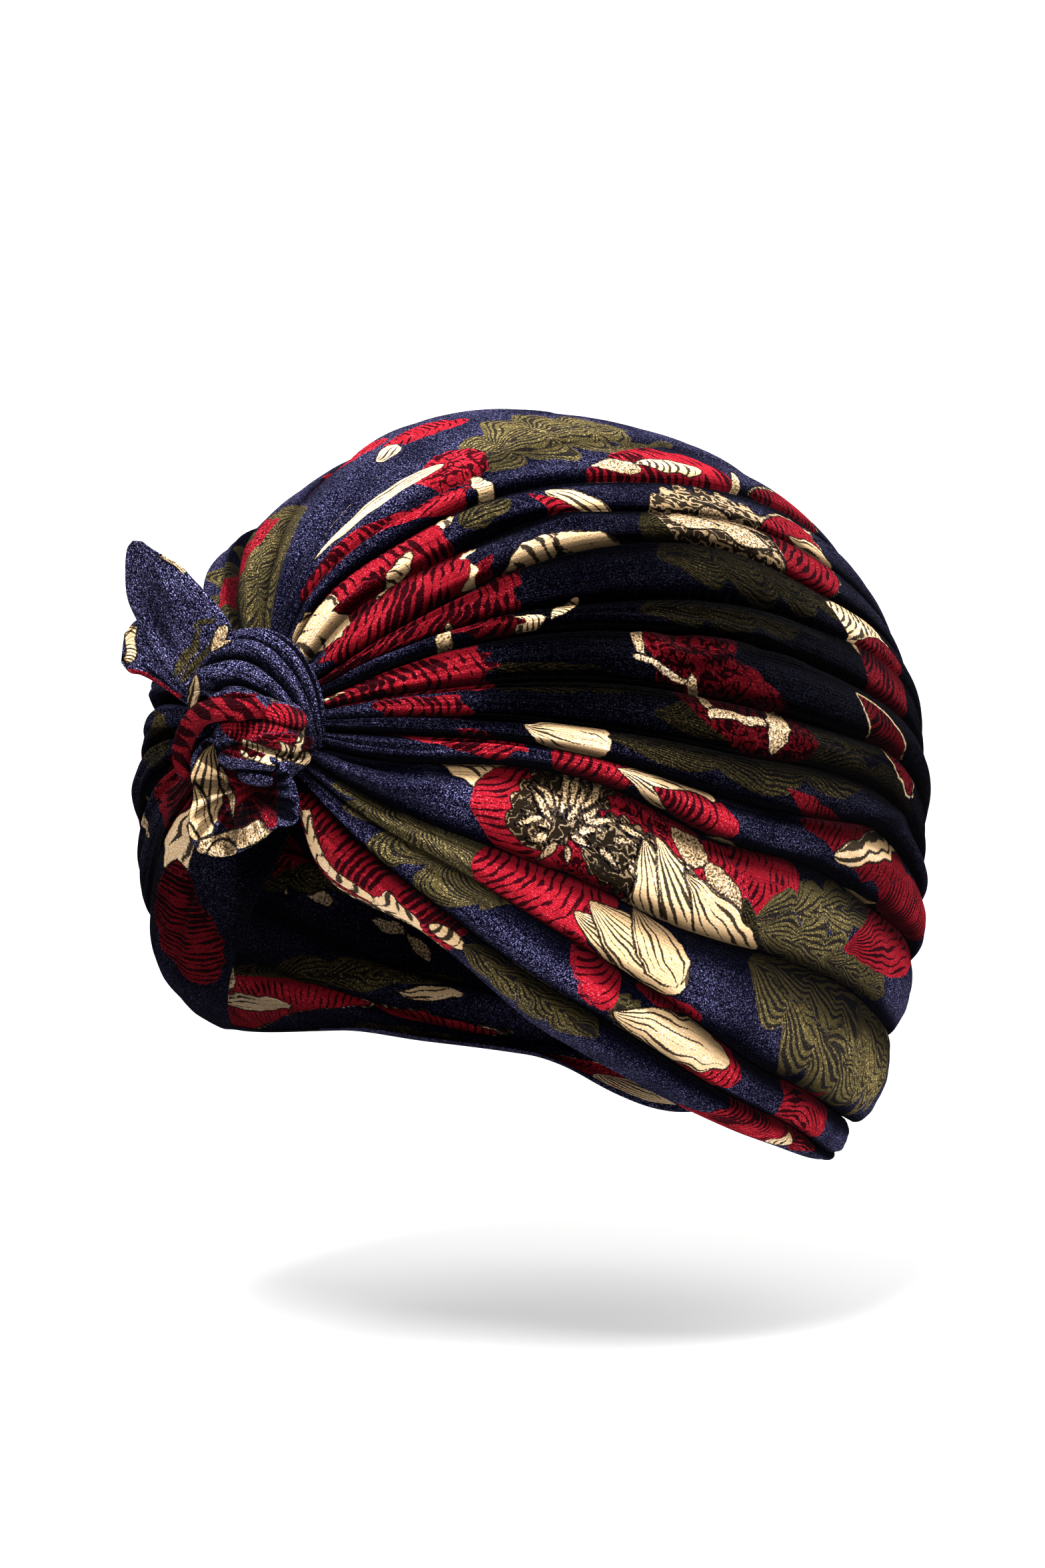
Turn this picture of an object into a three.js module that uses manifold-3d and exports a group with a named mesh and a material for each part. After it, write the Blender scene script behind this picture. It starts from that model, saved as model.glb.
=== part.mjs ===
// A pre-tied turban, held up as a head holds it.
// Millimetres, +Z up, the knot at the front (-Y), the wearer's left at +X.
// The origin is the middle of the opening for the head.
import * as THREE from 'three';
import { mergeVertices } from 'three/addons/utils/BufferGeometryUtils.js';
import Module from 'manifold-3d';

const wasm = await Module();
wasm.setup();

// Crown: a rounded dome over the head, fuller below its widest level
const CROWN_LEVEL = 55;
const CROWN_FRONT = 113;
const CROWN_BACK = 115;
const CROWN_LEFT = 98;
const CROWN_RIGHT = 95;
const CROWN_RISE = 98;
const CROWN_DROP = 132;
const CROWN_DROP_POWER = 2.6;

// Where the folds gather: a ring behind the knot, and a seam up the nape
const GATHER = new THREE.Vector3(4, -108, 76);
const SEAM_BACK = 112;
const SEAM_LOW = -47;
const SEAM_HIGH = 40;
const SEAM_LOW_ANGLE = 36;
const GATHER_DIMPLE = 0.025;
const GATHER_DIMPLE_END = 22;

// Cloth
const CLOTH_WALL = 2.4;
const TOUCH_GAP = 0.35;
const RIDGE_SWELL = 0.08;
const RIDGE_ROUNDNESS = 0.6;
const SEAM_FADE_START = 140;

// How far along a fold each row of the cloth lies, in degrees from the knot
const ROWS_ALONG = [
  9, 13, 18, 25, 33, 42, 52, 62, 72, 82, 92, 102, 112, 123, 136, 150, 164, 180,
];

// Folds are placed by their angle about the line from the knot to the seam:
// 0 is level on the wearer's left, 90 over the crown, 180 level on the right.
const FOLD_STATIONS = [12, 35, 70, 110];

// Folds of the wearer's left side, from the rim up to the crown
const LEFT_FOLDS = [
  { name: 'hem', angles: [-35, -32, -29, -27], depths: [3, 4.5, 5, 4.5], steps: 4 },
  { name: 'low_short', angles: [-27, -22.5, -21.5, -22], depths: [1.5, 1.5, 3.5, 4], steps: 3 },
  { name: 'low_long', angles: [-20, -15, -11, -8], depths: [3, 4, 4.5, 4], steps: 3 },
  { name: 'deep', angles: [-7, 2.5, 2, 4], depths: [3.5, 6, 7, 5.5], steps: 5 },
  { name: 'narrow_low', angles: [4, 7, 7, 12], depths: [3, 4, 5, 5], steps: 3 },
  { name: 'narrow_high', angles: [9, 11.5, 13, 16], depths: [2, 3, 3.5, 4], steps: 3 },
  { name: 'middle', angles: [18, 20, 20.5, 21.5], depths: [3, 4, 4.5, 3.5], steps: 3 },
  { name: 'patch_top', angles: [27, 30, 29, 28], depths: [3, 4.5, 5.5, 6], steps: 4 },
  { name: 'twin', angles: [33, 35.5, 34.5, 33], depths: [2.5, 3, 3.5, 1.5], steps: 3 },
  { name: 'shoulder', angles: [39, 44, 45, 38], depths: [4, 5, 5, 4], steps: 3 },
  { name: 'high', angles: [61, 57, 51, 45], depths: [4, 4.5, 4.5, 4.5], steps: 4 },
  { name: 'top_low', angles: [77, 68, 59, 56], depths: [3.5, 4, 4, 3.5], steps: 4 },
  { name: 'top_high', angles: [84, 76, 70, 70], depths: [1.5, 1.5, 2, 1.5], steps: 4 },
  { name: 'crown', angles: [90, 90, 90, 90], depths: [0, 0, 0, 0], steps: 4 },
];

// Folds of the wearer's right side, from the crown down to the rim
const RIGHT_FOLDS = [
  { name: 'top', angles: [104, 112, 116, 118], depths: [1.5, 2, 2.5, 2], steps: 6 },
  { name: 'upper', angles: [124, 131, 134, 136], depths: [2.5, 3.5, 4, 3.5], steps: 5 },
  { name: 'upper_side', angles: [142, 147, 149, 150], depths: [3, 4, 4.5, 4], steps: 5 },
  { name: 'side', angles: [157, 161, 162, 162], depths: [3, 5, 5.5, 5], steps: 5 },
  { name: 'lower_side', angles: [170, 174, 173, 172], depths: [3, 4.5, 5, 4.5], steps: 5 },
  { name: 'low', angles: [184, 187, 183, 181], depths: [3, 4.5, 4.5, 4], steps: 5 },
  { name: 'lowest', angles: [199, 200, 192, 189], depths: [3, 4, 4, 3.5], steps: 6 },
  { name: 'hem', angles: [217, 215, 201, 196], depths: [2.5, 3.5, 4, 3.5], steps: 6 },
];
const RIGHT_RIM_STEPS = 7;

// The rims round the face and nape: the fold angle, and how far they draw in
const LEFT_RIM = [
  { along: 9, angle: -70, drawIn: 0.16 },
  { along: 16, angle: -68, drawIn: 0.16 },
  { along: 24, angle: -53, drawIn: 0.17 },
  { along: 30, angle: -45, drawIn: 0.18 },
  { along: 38, angle: -41, drawIn: 0.18 },
  { along: 55, angle: -38.5, drawIn: 0.165 },
  { along: 66, angle: -36, drawIn: 0.15 },
  { along: 79, angle: -34, drawIn: 0.13 },
  { along: 100, angle: -31.5, drawIn: 0.09 },
  { along: 118, angle: -30, drawIn: 0.06 },
  { along: 142, angle: -30, drawIn: 0.03 },
  { along: 180, angle: -34, drawIn: 0 },
];
const RIGHT_RIM = [
  { along: 9, angle: 248, drawIn: 0.16 },
  { along: 31, angle: 235, drawIn: 0.16 },
  { along: 54, angle: 227, drawIn: 0.14 },
  { along: 70, angle: 216, drawIn: 0.14 },
  { along: 100, angle: 204.5, drawIn: 0.145 },
  { along: 120, angle: 201, drawIn: 0.12 },
  { along: 140, angle: 199, drawIn: 0.08 },
  { along: 156, angle: 200.5, drawIn: 0.04 },
  { along: 168, angle: 206, drawIn: 0.01 },
  { along: 180, angle: 214, drawIn: 0 },
];
const RIGHT_RIM_CURL = 1.4;

// Knot: a low dome of wrapped cloth in front of the gather
const KNOT_CENTRE = new THREE.Vector3(4, -106, 76);
const KNOT_HALF_WIDTH = 20;
const KNOT_HALF_HEIGHT = 22;
const KNOT_DEPTH = 15;
const BAND_THICKNESS = 3;
const BAND_RIDGES = 4;
const BAND_RIDGE_HEIGHT = 0.9;
const BAND_BACK_EDGE = -13;

// The band crosses the knot: its front edge, in degrees forward of the ring
const BAND_SWEEP = [
  { round: -14, reach: 16 },
  { round: 10, reach: 36 },
  { round: 45, reach: 66 },
  { round: 90, reach: 78 },
  { round: 135, reach: 60 },
  { round: 165, reach: 32 },
  { round: 192, reach: 14 },
];

// The knot's loose pieces are laid out as seen from this far round the left
// side, in millimetres right of, above and in front of the ring's middle.
const KNOT_VIEW_TURN = 43;
const RING_FRONT = new THREE.Vector3(4, -108, 76);

// Gathered cloth in the middle of the knot, and the plug behind it
const CURL = { at: [3.5, -3.5, 4], half: [15.5, 11.5, 8.5] };
const PLUG = { at: [0, 0, 0.5], half: [18.5, 6.5, 20] };

// Rolled edge round the left of the knot
const ROLL_RADIUS = 2.3;
const ROLL_STEPS = 14;
const ROLL_PATH = [
  [-2, 3, 15], [-7.3, 4.2, 14.5], [-12.6, 2.4, 12.5], [-15.7, -1.2, 11],
  [-17.4, -5, 9.5], [-18, -9.7, 8], [-17, -13.5, 6.5],
];

// Upper tail, root to tip: its left and right edges, and how far forward
const UPPER_TAIL_THICKNESS = 4.2;
const UPPER_TAIL = [
  { left: [-16.5, 6], right: [-4, 17], forward: 4 },
  { left: [-20.5, 11.5], right: [-5, 24.5], forward: 5.5 },
  { left: [-26.5, 19.5], right: [-7.3, 28.2], forward: 7 },
  { left: [-30, 25.2], right: [-10, 31.7], forward: 8.5 },
  { left: [-32.4, 31], right: [-14.3, 36], forward: 10 },
  { left: [-32.8, 37.8], right: [-18.2, 39.8], forward: 11 },
  { left: [-32.2, 43.2], right: [-25, 43.4], forward: 12 },
  { left: [-30.6, 45.5], right: [-28, 45.4], forward: 12.5 },
];

// The fold behind the upper tail, where its open end shows
const TAIL_FOLD_THICKNESS = 2.4;
const TAIL_FOLD = [
  { left: [-16.5, 3.5], right: [-15, 8.5], forward: 2.5 },
  { left: [-23.5, 8], right: [-21, 14.5], forward: 3 },
  { left: [-29.2, 10.8], right: [-25.5, 20.5], forward: 3.5 },
  { left: [-32.6, 11.5], right: [-30.2, 25], forward: 4 },
  { left: [-35, 14], right: [-34, 21.5], forward: 4 },
];

// Lower tail: the hem of its open end, as seen, and the throat inside it
const LOWER_TAIL_MIDDLE = [-1.5, -16];
const LOWER_TAIL_HEM = [
  [-11, -3.5, 10], [-14.9, -8, 9], [-15.5, -13, 9], [-14.9, -18.8, 9], [-16, -23.5, 9],
  [-15.6, -29, 9.5], [-13, -32.3, 10], [-7, -33, 10.5], [-1.5, -31, 10.5], [3.3, -28, 10],
  [7, -25, 9.5], [11.6, -23.6, 9], [13, -20.5, 8.5], [12.5, -15.5, 8.5], [10.5, -11, 9],
  [7, -7.5, 10], [1, -5.5, 11], [-5.5, -3.8, 11],
];
const LOWER_TAIL_RINGS = [
  { size: 0.3, back: -6.5 },
  { size: 0.62, back: -6 },
  { size: 0.85, back: -3.5 },
  { size: 1, back: 0 },
  { size: 0.9, back: 0.9 },
  { size: 0.68, back: -1.2 },
  { size: 0.45, back: -3.6 },
  { size: 0.22, back: -4.2 },
];
const LOWER_TAIL_STEPS = 36;

// Small helpers
const rad = THREE.MathUtils.degToRad;
const clamp = THREE.MathUtils.clamp;
const lerp = THREE.MathUtils.lerp;
const ease = (x) => THREE.MathUtils.smoothstep(x, 0, 1);

// A smooth line through the values ys at the places xs
function through(xs, ys, x) {
  const last = xs.length - 1;
  if (x <= xs[0]) return ys[0];
  if (x >= xs[last]) return ys[last];
  let k = 0;
  while (x > xs[k + 1]) k += 1;
  const slope = (i) => {
    if (i === 0 || i === last) return 0;
    return (ys[i + 1] - ys[i - 1]) / (xs[i + 1] - xs[i - 1]);
  };
  const span = xs[k + 1] - xs[k];
  const t = (x - xs[k]) / span;
  const rise = ys[k + 1] - ys[k];
  const curve = t * t * (3 - 2 * t) * rise;
  const lead = t * (1 - t) * (1 - t) * slope(k) * span;
  const tail = t * t * (t - 1) * slope(k + 1) * span;
  return ys[k] + curve + lead + tail;
}

// The dome, as a level that is negative inside it
function domeLevel(p) {
  const above = p.z - CROWN_LEVEL;
  let girth;
  if (above > 0) girth = 1 - (above / CROWN_RISE) ** 2;
  else girth = (1 - (-above / CROWN_DROP) ** CROWN_DROP_POWER) ** (2 / CROWN_DROP_POWER);
  girth = above > CROWN_RISE ? 1e-6 : Math.max(girth, 1e-6);
  const side = (p.x / (p.x > 0 ? CROWN_LEFT : CROWN_RIGHT)) ** 2;
  const length = (p.y / (p.y > 0 ? CROWN_BACK : CROWN_FRONT)) ** 2;
  return (side + length) / girth - 1;
}

function reachToDome(from, direction) {
  let inside = 1;
  let outside = 2 * CROWN_DROP;
  for (let i = 0; i < 34; i += 1) {
    const middle = (inside + outside) / 2;
    const p = from.clone().addScaledVector(direction, middle);
    if (domeLevel(p) < 0) inside = middle;
    else outside = middle;
  }
  return inside;
}

function seamHeight(angle) {
  const low = Math.sin(rad(SEAM_LOW_ANGLE));
  const share = (Math.sin(rad(angle)) + low) / (1 + low);
  return lerp(SEAM_LOW, SEAM_HIGH, clamp(share, 0, 1));
}

// A point of the cloth, by its fold angle and its place along the fold
function clothPoint(angle, along, drawIn, proud) {
  const seam = new THREE.Vector3(0, SEAM_BACK, seamHeight(angle));
  const middle = GATHER.clone().add(seam).multiplyScalar(0.5);
  const axis = seam.clone().sub(GATHER).normalize();
  const up = new THREE.Vector3(0, -axis.z, axis.y).normalize();
  const outward = new THREE.Vector3(Math.cos(rad(angle)), 0, 0);
  outward.addScaledVector(up, Math.sin(rad(angle)));
  const direction = axis.clone().multiplyScalar(-Math.cos(rad(along)));
  direction.addScaledVector(outward, Math.sin(rad(along))).normalize();
  const reach = reachToDome(middle, direction);
  const nearKnot = 1 - ease((along - ROWS_ALONG[0]) / (GATHER_DIMPLE_END - ROWS_ALONG[0]));
  const share = 1 - drawIn - GATHER_DIMPLE * nearKnot;
  return middle.addScaledVector(direction, reach * share + proud);
}

// The lines of cloth across the turban, from the left rim to the right rim
function rimValue(rim, key, along) {
  return through(rim.map((row) => row.along), rim.map((row) => row[key]), along);
}
function foldLine(fold) {
  return {
    angle: (along) => through(FOLD_STATIONS, fold.angles, along),
    depth: (along) => through(FOLD_STATIONS, fold.depths, along),
    steps: fold.steps,
  };
}
const leftRim = { angle: (a) => rimValue(LEFT_RIM, 'angle', a), depth: () => 0, steps: 0 };
const rightRim = {
  angle: (a) => rimValue(RIGHT_RIM, 'angle', a),
  depth: () => 0,
  steps: RIGHT_RIM_STEPS,
};
const edges = [leftRim];
for (const fold of LEFT_FOLDS) edges.push(foldLine(fold));
for (const fold of RIGHT_FOLDS) edges.push(foldLine(fold));
edges.push(rightRim);

const across = [];
for (let k = 0; k + 1 < edges.length; k += 1) {
  const steps = edges[k + 1].steps;
  for (let i = 0; i < steps; i += 1) across.push({ pleat: k, share: i / steps });
}
across.push({ pleat: edges.length - 2, share: 1 });
const LAST_LINE = across.length - 1;
const CROWN_LINE = LAST_LINE / 2;
const LAST_ROW = ROWS_ALONG.length - 1;

function lineAngle(line, along) {
  const { pleat, share } = across[line];
  return lerp(edges[pleat].angle(along), edges[pleat + 1].angle(along), share);
}

// On the right side the folds end at the seam where their partners do on the left
function seamedAngle(line, along) {
  const own = lineAngle(line, along);
  if (line <= CROWN_LINE) return own;
  const partner = 180 - lineAngle(LAST_LINE - line, 180);
  return lerp(own, partner, ease((along - SEAM_FADE_START) / (180 - SEAM_FADE_START)));
}

function wrapPoint(line, row, wall) {
  const along = ROWS_ALONG[row];
  const { pleat, share } = across[line];
  const low = edges[pleat];
  const high = edges[pleat + 1];
  const radius = CROWN_LEFT * Math.sin(rad(Math.min(along, 90)));
  const width = Math.abs(rad(high.angle(along) - low.angle(along))) * radius;
  const ridge = Math.sin(Math.PI * share) ** RIDGE_ROUNDNESS;
  const valley = lerp(low.depth(along), high.depth(along), share);
  const seamFade = 1 - ease((along - SEAM_FADE_START) / (180 - SEAM_FADE_START));
  const lift = (RIDGE_SWELL * width * ridge - valley * (1 - ridge)) * seamFade;
  let drawIn = 0;
  if (pleat === 0) drawIn = rimValue(LEFT_RIM, 'drawIn', along) * (1 - share) ** 2;
  if (pleat === edges.length - 2) drawIn = rimValue(RIGHT_RIM, 'drawIn', along) * share ** RIGHT_RIM_CURL;
  return clothPoint(seamedAngle(line, along), along, drawIn, lift - wall);
}

// Closed bodies from points and triangles
function bodyFromFaces(points, faces) {
  let geometry = new THREE.BufferGeometry();
  const flat = [];
  for (const p of points) flat.push(p.x, p.y, p.z);
  geometry.setAttribute('position', new THREE.Float32BufferAttribute(flat, 3));
  geometry.setIndex(faces.flat());
  geometry = mergeVertices(geometry, 1e-4);
  const index = Array.from(geometry.index.array);
  const place = geometry.attributes.position;
  const corner = (i) => new THREE.Vector3().fromBufferAttribute(place, i);
  const kept = [];
  let volume = 0;
  for (let i = 0; i < index.length; i += 3) {
    const [a, b, c] = index.slice(i, i + 3);
    if (a !== b && b !== c && c !== a) {
      kept.push([a, b, c]);
      volume += corner(a).dot(corner(b).cross(corner(c)));
    }
  }
  const ordered = volume > 0 ? kept : kept.map(([a, b, c]) => [a, c, b]);
  geometry.setIndex(ordered.flat());
  return geometry;
}

function wrapBody() {
  const points = [];
  const faces = [];
  const stride = LAST_ROW + 1;
  const inner = (LAST_LINE + 1) * stride;
  for (const wall of [0, CLOTH_WALL]) {
    for (let line = 0; line <= LAST_LINE; line += 1) {
      for (let row = 0; row <= LAST_ROW; row += 1) points.push(wrapPoint(line, row, wall));
    }
  }
  const quad = (a, b, c, d) => faces.push([a, b, c], [a, c, d]);
  for (let line = 0; line < LAST_LINE; line += 1) {
    for (let row = 0; row < LAST_ROW; row += 1) {
      const a = line * stride + row;
      const b = a + stride;
      quad(a, a + 1, b + 1, b);
      quad(inner + a, inner + b, inner + b + 1, inner + a + 1);
    }
    const front = line * stride;
    quad(front, front + stride, inner + front + stride, inner + front);
  }
  for (const line of [0, LAST_LINE]) {
    for (let row = 0; row < LAST_ROW; row += 1) {
      const a = line * stride + row;
      if (line === 0) quad(a, inner + a, inner + a + 1, a + 1);
      else quad(a, a + 1, inner + a + 1, inner + a);
    }
  }
  return bodyFromFaces(points, faces);
}

// Sections of equal length joined into one body, closed by a fan at each end
function loft(sections) {
  const points = sections.flat();
  const count = sections[0].length;
  const faces = [];
  for (let k = 0; k + 1 < sections.length; k += 1) {
    for (let i = 0; i < count; i += 1) {
      const a = k * count + i;
      const b = k * count + ((i + 1) % count);
      faces.push([a, b, b + count], [a, b + count, a + count]);
    }
  }
  for (const start of [0, (sections.length - 1) * count]) {
    const middle = new THREE.Vector3();
    for (let i = 0; i < count; i += 1) middle.addScaledVector(points[start + i], 1 / count);
    points.push(middle);
    for (let i = 0; i < count; i += 1) {
      const a = start + i;
      const b = start + ((i + 1) % count);
      const turned = start === 0;
      faces.push(turned ? [points.length - 1, b, a] : [points.length - 1, a, b]);
    }
  }
  return bodyFromFaces(points, faces);
}

// A point of the knot's dome: round its ring, and forward of it
function knotDome(round, reach, lift) {
  const flat = Math.cos(rad(reach));
  return new THREE.Vector3(
    KNOT_CENTRE.x + (KNOT_HALF_WIDTH + lift) * Math.cos(rad(round)) * flat,
    KNOT_CENTRE.y - (KNOT_DEPTH + lift) * Math.sin(rad(reach)),
    KNOT_CENTRE.z + (KNOT_HALF_HEIGHT + lift) * Math.sin(rad(round)) * flat,
  );
}

function knotBand() {
  const rounds = BAND_SWEEP.map((row) => row.round);
  const reaches = BAND_SWEEP.map((row) => row.reach);
  const alongSteps = 22;
  const acrossSteps = 14;
  const sections = [];
  for (let k = 0; k <= alongSteps; k += 1) {
    const round = lerp(rounds[0], rounds[rounds.length - 1], k / alongSteps);
    const front = through(rounds, reaches, round);
    const section = [];
    for (let i = 0; i <= acrossSteps; i += 1) {
      const share = i / acrossSteps;
      const ridge = Math.abs(Math.sin(Math.PI * BAND_RIDGES * share));
      const lift = BAND_RIDGE_HEIGHT * (ridge - 0.5);
      section.push(knotDome(round, lerp(BAND_BACK_EDGE, front, share), lift));
    }
    for (let i = acrossSteps; i >= 0; i -= 2) {
      const reach = lerp(BAND_BACK_EDGE, front, i / acrossSteps);
      section.push(knotDome(round, reach, -BAND_THICKNESS));
    }
    sections.push(section);
  }
  return loft(sections);
}

function knotPoint(right, above, forward) {
  const turn = rad(KNOT_VIEW_TURN);
  const side = (right + Math.sin(turn) * forward) / Math.cos(turn);
  return new THREE.Vector3(side, -forward, above).add(RING_FRONT);
}

function lump({ at, half }) {
  const geometry = new THREE.SphereGeometry(1, 18, 11);
  geometry.scale(half[0], half[1], half[2]);
  const middle = knotPoint(at[0], at[1], at[2]);
  geometry.translate(middle.x, middle.y, middle.z);
  return weld(geometry);
}

function weld(geometry) {
  geometry.deleteAttribute('normal');
  geometry.deleteAttribute('uv');
  const welded = mergeVertices(geometry, 1e-4);
  const corners = [];
  const place = welded.attributes.position;
  for (let i = 0; i < place.count; i += 1) {
    corners.push(new THREE.Vector3().fromBufferAttribute(place, i));
  }
  const faces = [];
  const index = Array.from(welded.index.array);
  for (let i = 0; i < index.length; i += 3) faces.push(index.slice(i, i + 3));
  return bodyFromFaces(corners, faces);
}

function knotRoll() {
  const path = new THREE.CatmullRomCurve3(ROLL_PATH.map((p) => knotPoint(...p)));
  const section = new THREE.Shape();
  section.absarc(0, 0, ROLL_RADIUS, 0, 2 * Math.PI);
  const options = { steps: ROLL_STEPS, bevelEnabled: false, extrudePath: path, curveSegments: 8 };
  return weld(new THREE.ExtrudeGeometry(section, options));
}

// A flat tail: rounded sections from its root to its end
function flatTail(rows, thickness) {
  const turn = rad(KNOT_VIEW_TURN);
  const toViewer = new THREE.Vector3(Math.sin(turn), -Math.cos(turn), 0);
  const steps = 14;
  const sections = [];
  for (const row of rows) {
    const left = knotPoint(row.left[0], row.left[1], row.forward);
    const right = knotPoint(row.right[0], row.right[1], row.forward);
    const middle = left.clone().add(right).multiplyScalar(0.5);
    const half = right.clone().sub(left).multiplyScalar(0.5);
    const depth = Math.min(thickness / 2, half.length() * 0.8);
    const section = [];
    for (let i = 0; i < steps; i += 1) {
      const angle = (2 * Math.PI * i) / steps;
      const p = middle.clone().addScaledVector(half, Math.cos(angle));
      section.push(p.addScaledVector(toViewer, depth * Math.sin(angle)));
    }
    sections.push(section);
  }
  return loft(sections);
}

function lowerTail() {
  const hem = new THREE.CatmullRomCurve3(
    LOWER_TAIL_HEM.map(([right, above, forward]) => new THREE.Vector3(right, above, forward)),
    true,
  );
  const outline = hem.getPoints(LOWER_TAIL_STEPS).slice(0, LOWER_TAIL_STEPS);
  const [midRight, midAbove] = LOWER_TAIL_MIDDLE;
  return loft(LOWER_TAIL_RINGS.map(({ size, back }) => outline.map((p) => {
    const right = lerp(midRight, p.x, size);
    const above = lerp(midAbove, p.y, size);
    return knotPoint(right, above, p.z + back);
  })));
}

// Booleans, so that pieces that touch keep a small gap
function solidOf(geometry) {
  const mesh = new wasm.Mesh({
    numProp: 3,
    vertProperties: new Float32Array(geometry.attributes.position.array),
    triVerts: new Uint32Array(geometry.index.array),
  });
  return new wasm.Manifold(mesh);
}
function geometryOf(solid) {
  const mesh = solid.getMesh();
  const geometry = new THREE.BufferGeometry();
  geometry.setAttribute('position', new THREE.BufferAttribute(mesh.vertProperties, 3));
  geometry.setIndex(new THREE.BufferAttribute(mesh.triVerts, 1));
  return geometry;
}
function grown(geometry) {
  const copy = geometry.clone();
  copy.computeVertexNormals();
  const place = copy.attributes.position;
  const normal = copy.attributes.normal;
  for (let i = 0; i < place.count; i += 1) {
    place.setXYZ(
      i,
      place.getX(i) + TOUCH_GAP * normal.getX(i),
      place.getY(i) + TOUCH_GAP * normal.getY(i),
      place.getZ(i) + TOUCH_GAP * normal.getZ(i),
    );
  }
  return copy;
}
function largest(solid) {
  const parts = solid.decompose();
  return parts.reduce((best, part) => (part.volume() > best.volume() ? part : best));
}
function clearOf(geometry, neighbours) {
  let solid = solidOf(geometry);
  for (const neighbour of neighbours) solid = solid.subtract(solidOf(grown(neighbour)));
  return geometryOf(largest(solid));
}

const turban = new THREE.Group();
function addPiece(name, geometry, colour, roughness) {
  const material = new THREE.MeshStandardMaterial({ color: colour, roughness, metalness: 0 });
  const mesh = new THREE.Mesh(geometry, material);
  mesh.name = name;
  turban.add(mesh);
  return mesh;
}
const body = wrapBody();
const band = clearOf(knotBand(), [body]);
const middle = solidOf(lump(CURL)).add(solidOf(lump(PLUG)));
const curl = clearOf(geometryOf(middle), [body, band]);
const roll = clearOf(knotRoll(), [body, band, curl]);
const lower = clearOf(lowerTail(), [body, band, curl, roll]);
const upper = clearOf(flatTail(UPPER_TAIL, UPPER_TAIL_THICKNESS), [body, band, curl, roll]);
const fold = clearOf(flatTail(TAIL_FOLD, TAIL_FOLD_THICKNESS), [body, band, curl, roll, upper]);
addPiece('wrap_body', body, 0x1b1c33, 0.85);
addPiece('knot_band', band, 0x23264a, 0.7);
addPiece('knot_curl', curl, 0x7a1a2a, 0.8);
addPiece('knot_roll', roll, 0x8f1e30, 0.8);
addPiece('tail_lower', lower, 0xd9c9a8, 0.85);
addPiece('tail_upper', upper, 0x23264a, 0.8);
addPiece('tail_upper_fold', fold, 0x3a3328, 0.85);

export default turban;
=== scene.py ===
import bpy
import math
import numpy as np
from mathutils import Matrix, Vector


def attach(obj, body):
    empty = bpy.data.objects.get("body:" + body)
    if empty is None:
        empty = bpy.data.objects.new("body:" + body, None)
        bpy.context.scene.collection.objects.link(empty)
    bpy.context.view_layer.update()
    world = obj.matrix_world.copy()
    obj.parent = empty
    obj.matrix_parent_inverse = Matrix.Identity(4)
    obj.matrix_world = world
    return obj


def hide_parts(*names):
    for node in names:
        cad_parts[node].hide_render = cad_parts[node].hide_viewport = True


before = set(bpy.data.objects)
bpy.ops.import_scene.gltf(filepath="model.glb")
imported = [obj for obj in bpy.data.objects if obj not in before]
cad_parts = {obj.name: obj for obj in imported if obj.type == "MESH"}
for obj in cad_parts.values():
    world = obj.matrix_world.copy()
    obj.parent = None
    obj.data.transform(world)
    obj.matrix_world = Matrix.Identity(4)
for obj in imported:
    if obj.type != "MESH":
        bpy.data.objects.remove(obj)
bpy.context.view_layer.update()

MM = 0.001

# Camera, as the photograph is taken: millimetres and degrees
VIEW_TURN = 43.0
VIEW_RISE = 4.0
VIEW_DISTANCE = 1300.0
VIEW_HEIGHT = 420.0
VIEW_TARGET = np.array([0.0, 0.0, 55.0])
PHOTO_SIZE = (1568, 2352)
TARGET_PIXEL = (800.0, 1176.0)

# The same crown, gather and folds as the CAD part, in millimetres and degrees
CROWN_LEVEL = 55.0
CROWN_FRONT, CROWN_BACK = 113.0, 115.0
CROWN_LEFT, CROWN_RIGHT = 98.0, 95.0
CROWN_RISE, CROWN_DROP, CROWN_DROP_POWER = 98.0, 132.0, 2.6
GATHER = np.array([4.0, -108.0, 76.0])
SEAM_BACK, SEAM_LOW, SEAM_HIGH = 112.0, -47.0, 40.0
SEAM_LOW_ANGLE = 36.0
GATHER_DIMPLE, GATHER_DIMPLE_END = 0.025, 22.0
CLOTH_WALL = 2.4
RIDGE_SWELL = 0.08
ALONG_START, ALONG_END = 9.0, 180.0
SEAM_FADE_START = 140.0
FOLD_STATIONS = (12, 35, 70, 110)

# Folds: name, fold angles in degrees and depths in mm at the stations, lines of cloth
LEFT_FOLDS = [
    ("hem", (-35, -32, -29, -27), (3, 4.5, 5, 4.5), 22),
    ("low_short", (-27, -22.5, -21.5, -22), (1.5, 1.5, 3.5, 4), 16),
    ("low_long", (-20, -15, -11, -8), (3, 4, 4.5, 4), 22),
    ("deep", (-7, 2.5, 2, 4), (3.5, 6, 7, 5.5), 30),
    ("narrow_low", (4, 7, 7, 12), (3, 4, 5, 5), 16),
    ("narrow_high", (9, 11.5, 13, 16), (2, 3, 3.5, 4), 14),
    ("middle", (18, 20, 20.5, 21.5), (3, 4, 4.5, 3.5), 18),
    ("patch_top", (27, 30, 29, 28), (3, 4.5, 5.5, 6), 20),
    ("twin", (33, 35.5, 34.5, 33), (2.5, 3, 3.5, 1.5), 14),
    ("shoulder", (39, 44, 45, 38), (4, 5, 5, 4), 18),
    ("high", (61, 57, 51, 45), (4, 4.5, 4.5, 4.5), 22),
    ("top_low", (77, 68, 59, 56), (3.5, 4, 4, 3.5), 20),
    ("top_high", (84, 76, 70, 70), (1.5, 1.5, 2, 1.5), 18),
    ("crown", (90, 90, 90, 90), (0, 0, 0, 0), 16),
]
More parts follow.
